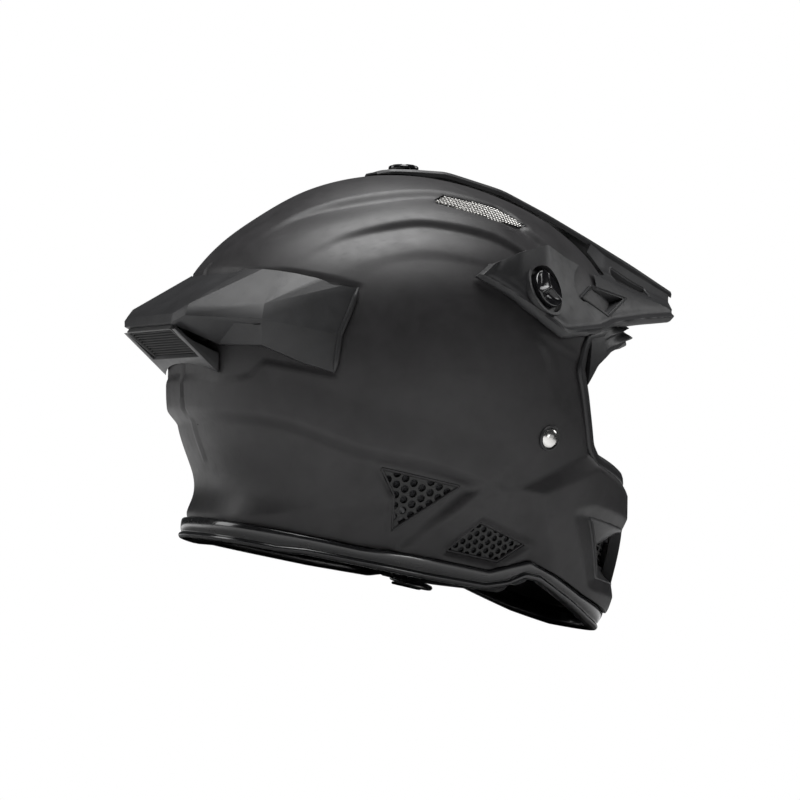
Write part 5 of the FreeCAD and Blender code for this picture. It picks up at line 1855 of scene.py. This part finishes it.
# %% Ribbon helper
STRAP_WIDTH, STRAP_THICK = 22 * MM, 2.0 * MM
STRAP_Y = -62 * MM
RING_X, RING_LEVEL = 46 * MM, 9 * MM
STRAP_SECTION = [(-1, -0.6), (-1, 0.6), (-0.93, 1.0), (-0.80, 1.0), (-0.76, 0.8), (-0.72, 1.0), (0.72, 1.0),
                 (0.76, 0.8), (0.80, 1.0), (0.93, 1.0), (1, 0.6), (1, -0.6), (0.93, -1.0), (-0.93, -1.0)]
STITCH_PITCH, STITCH_LENGTH = 2.6 * MM, 1.7 * MM


def strap_band(name, path, outs, taper_end=False):
    """A ribbon along path with outs as its face's direction; taper_end rounds its last end."""
    path, outs = np.asarray(path, float), unit(outs)
    across = np.array((0, 1.0, 0)) * STRAP_WIDTH / 2
    taper = np.ones(len(path))
    if taper_end:
        left = np.linalg.norm(np.diff(path, axis=0, append=path[-1:]), axis=1)[::-1].cumsum()[::-1]
        rounding = (1 - np.clip(left / (9 * MM), 0, 1)) ** 2 * 0.75
        taper = np.sqrt(np.clip(1 - rounding, 0.05, 1))
    out = outs * STRAP_THICK / 2
    rings = np.array([path + across * a * taper[:, None] + out * o for a, o in STRAP_SECTION])
    faces = grid_faces(*rings.shape[:2], closed=True) + strip_ends(*rings.shape[:2])
    return outward(mesh_piece(name, rings, faces))


def stitches(path, outs, rows):
    """Short raised threads along the path at each across offset."""
    steps = travelled(path)
    lift = np.array([0.1, 0.32, 0.32, 0.1])[:, None] * MM + STRAP_THICK / 2 * 0.95
    tubes = []
    for offset in rows:
        for start in np.arange(2 * MM, steps[-1] - 3 * MM, STITCH_PITCH):
            places = start + STITCH_LENGTH * np.linspace(0, 1, 4)
            point, out = read_off(places, steps, path), unit(read_off(places, steps, outs))
            tubes.append(tube(point + out * lift + (0, offset, 0), 0.22 * MM, 5))
    return tubes


def strap_line(side):
    """The strap's middle line from the rivet down, and the direction its outer face looks."""
    z = np.linspace(121, 26, 40) * MM
    v, turn = from_side(np.full(40, STRAP_Y), z)
    hidden = form_point(v, turn) - form_normal(v, turn) * 7.2 * MM
    reach = hidden[-1, 0]
    low = [(reach - 1.0 * MM, 0.021), (reach - 3.8 * MM, 0.016), (reach - 8.5 * MM, 0.011),
           (reach - 15.5 * MM, RING_LEVEL), (reach - 24 * MM, RING_LEVEL)]
    hidden[:, 1] = STRAP_Y
    low = np.array([(x, STRAP_Y, z) for x, z in low])
    end = -34 * MM if side < 0 else RING_X + 3.4 * MM
    last = np.array([(x, STRAP_Y, RING_LEVEL) for x in np.linspace(low[-1][0], end, 30)[1:]])
    path = relaxed(evened(np.vstack([hidden, low, last]), 160, False), 4, False)
    tangent = np.gradient(path, axis=0)
    outs = unit(np.cross(tangent, (0, -1.0, 0)))
    return path * (side, 1, 1), outs * (side, 1, 1)


# %% Both straps
LOOP_RADIUS, LOOP_GAP = 3.2 * MM, 1.8 * MM      # the sewn loop that goes round the rings' bars
LOOP_END_X, LOOP_END_RISE = RING_X + 3.4 * MM, 5.0 * MM
STITCH_ROWS = (-8.4 * MM, 8.4 * MM)


def strap_loop():
    """The short loop that the left strap makes round the bars of the two rings."""
    line = [(LOOP_END_X, RING_LEVEL + LOOP_END_RISE)]
    for angle in np.linspace(-math.pi / 2, math.pi / 2, 14)[::-1]:
        gap = LOOP_GAP if angle > 0 else -LOOP_GAP
        z = RING_LEVEL + LOOP_RADIUS * math.sin(angle) + gap
        line.append((RING_X - LOOP_RADIUS * math.cos(angle), z))
    line.append((LOOP_END_X, RING_LEVEL - LOOP_END_RISE))
    path = evened(np.array([(x, STRAP_Y, z) for x, z in line]), 60, False)
    return strap_band("loop", path, np.cross(np.gradient(path, axis=0), (0, -1.0, 0)))


def make_strap(word, side):
    """The webbing of one side with its stitches, and with the loop on the left."""
    path, outs = strap_line(side)
    pieces = [strap_band("band", path, outs, side < 0), bundle("threads", stitches(path, outs, STITCH_ROWS))]
    if side > 0:
        pieces.append(strap_loop())
    strap = joined(f"chin_strap_webbing_{word}", *pieces)
    dress(smooth(strap, 50), "strap_webbing", "helmet", f"chin_strap_{word}")


for word, side in SIDES:
    make_strap(word, side)

# %% [markdown]
# ## Rings, studs and the press button
# The rings are bent wire, so a round tube follows a D-shaped line and the weld stays visible as
# a small swelling on the straight bar.  The studs are turned shapes again.


# %% D-rings
def wire_ring(word):
    """A closed D of wire from the hinge bar to the far side of the CAD ring."""
    points = np.array([vertex.co for vertex in frame["nodes"][f"d_ring_{word}"].data.vertices])
    pivot = np.array(joint(f"ring_swing_{word}")["pos_m"])
    far_end = points[points[:, 0] < points[:, 0].min() + 1 * MM].mean(0) - pivot
    tilt = math.atan2(far_end[2], -far_end[0])
    wire = 1.6 * MM
    half = np.ptp(points[:, 1]) / 2 - wire
    reach = math.hypot(far_end[0], far_end[2]) - wire
    straight = max(reach - half, 2 * MM)
    bow = np.linspace(math.pi / 2, -math.pi / 2, 40)
    line = [(0, -half + 2 * half * s) for s in np.linspace(0, 1, 20)]
    line += [(-straight - (reach - straight) * math.cos(a), half * math.sin(a)) for a in bow]
    line = relaxed(evened(np.array(line), 120), 6)
    path = pivot + np.stack([line[:, 0] * math.cos(tilt), line[:, 1], -line[:, 0] * math.sin(tilt)], -1)
    weld = np.exp(-((line[:, 1] - 2 * MM) / (1.1 * MM)) ** 2) * (line[:, 0] > -1 * MM)
    return bundle(f"d_ring_{word}_wire", [tube(path, wire * (1 + 0.12 * weld), 14, True)])


for word in ("upper", "lower"):
    dress(smooth(wire_ring(word), 80), "ring_steel", f"d_ring_{word}", f"d_ring_{word}")

# %% Press button and pad studs
BUTTON_PROFILE = [(0.2, 2.2), (3.2, 2.15), (4.0, 1.9), (4.4, 1.7), (4.8, 1.9), (5.5, 1.8), (6.0, 1.3), (6.0, 0.1),
                  (5.6, 0.0), (0.2, 0.0)]
low, high = (np.array(corner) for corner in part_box("strap_snap"))
button_foot = np.append((low[:2] + high[:2]) / 2, low[2])
button = turned_piece("press_button", revolved(BUTTON_PROFILE, 48), button_foot, UP)
dress(smooth(button, 40), "snap_plastic", "helmet", "strap_snap")

STUD_PROFILE = [(0.2, 0.4), (2.0, 0.5), (2.6, 1.2), (4.2, 1.3), (5.0, 0.9), (5.0, -4.2), (4.4, -4.6), (0.2, -4.6)]
for word, side in SIDES:
    studs = []
    for y, z in side_outline([(30, 40), (-30, 100), (30, 100)]):
        v, turn = from_side(y, z)
        axis = form_normal(v, turn) * (side, 1, 1)
        seat = form_point(v, turn) * (side, 1, 1) - axis * 5.6 * MM
        studs.append(turned_piece("stud", revolved(STUD_PROFILE, 40), seat, axis))
    pair = joined(f"pad_studs_{word}", *studs)
    dress(smooth(pair, 40), "snap_plastic", "helmet", f"cheek_pad_snaps_{word}")

# %% [markdown]
# ## Measure and finish
# The box round every visible piece of the finished model is printed.

# %% Sizes
low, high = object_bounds()
print("visual box, metres:", [round(v, 3) for v in (*low, *high)])
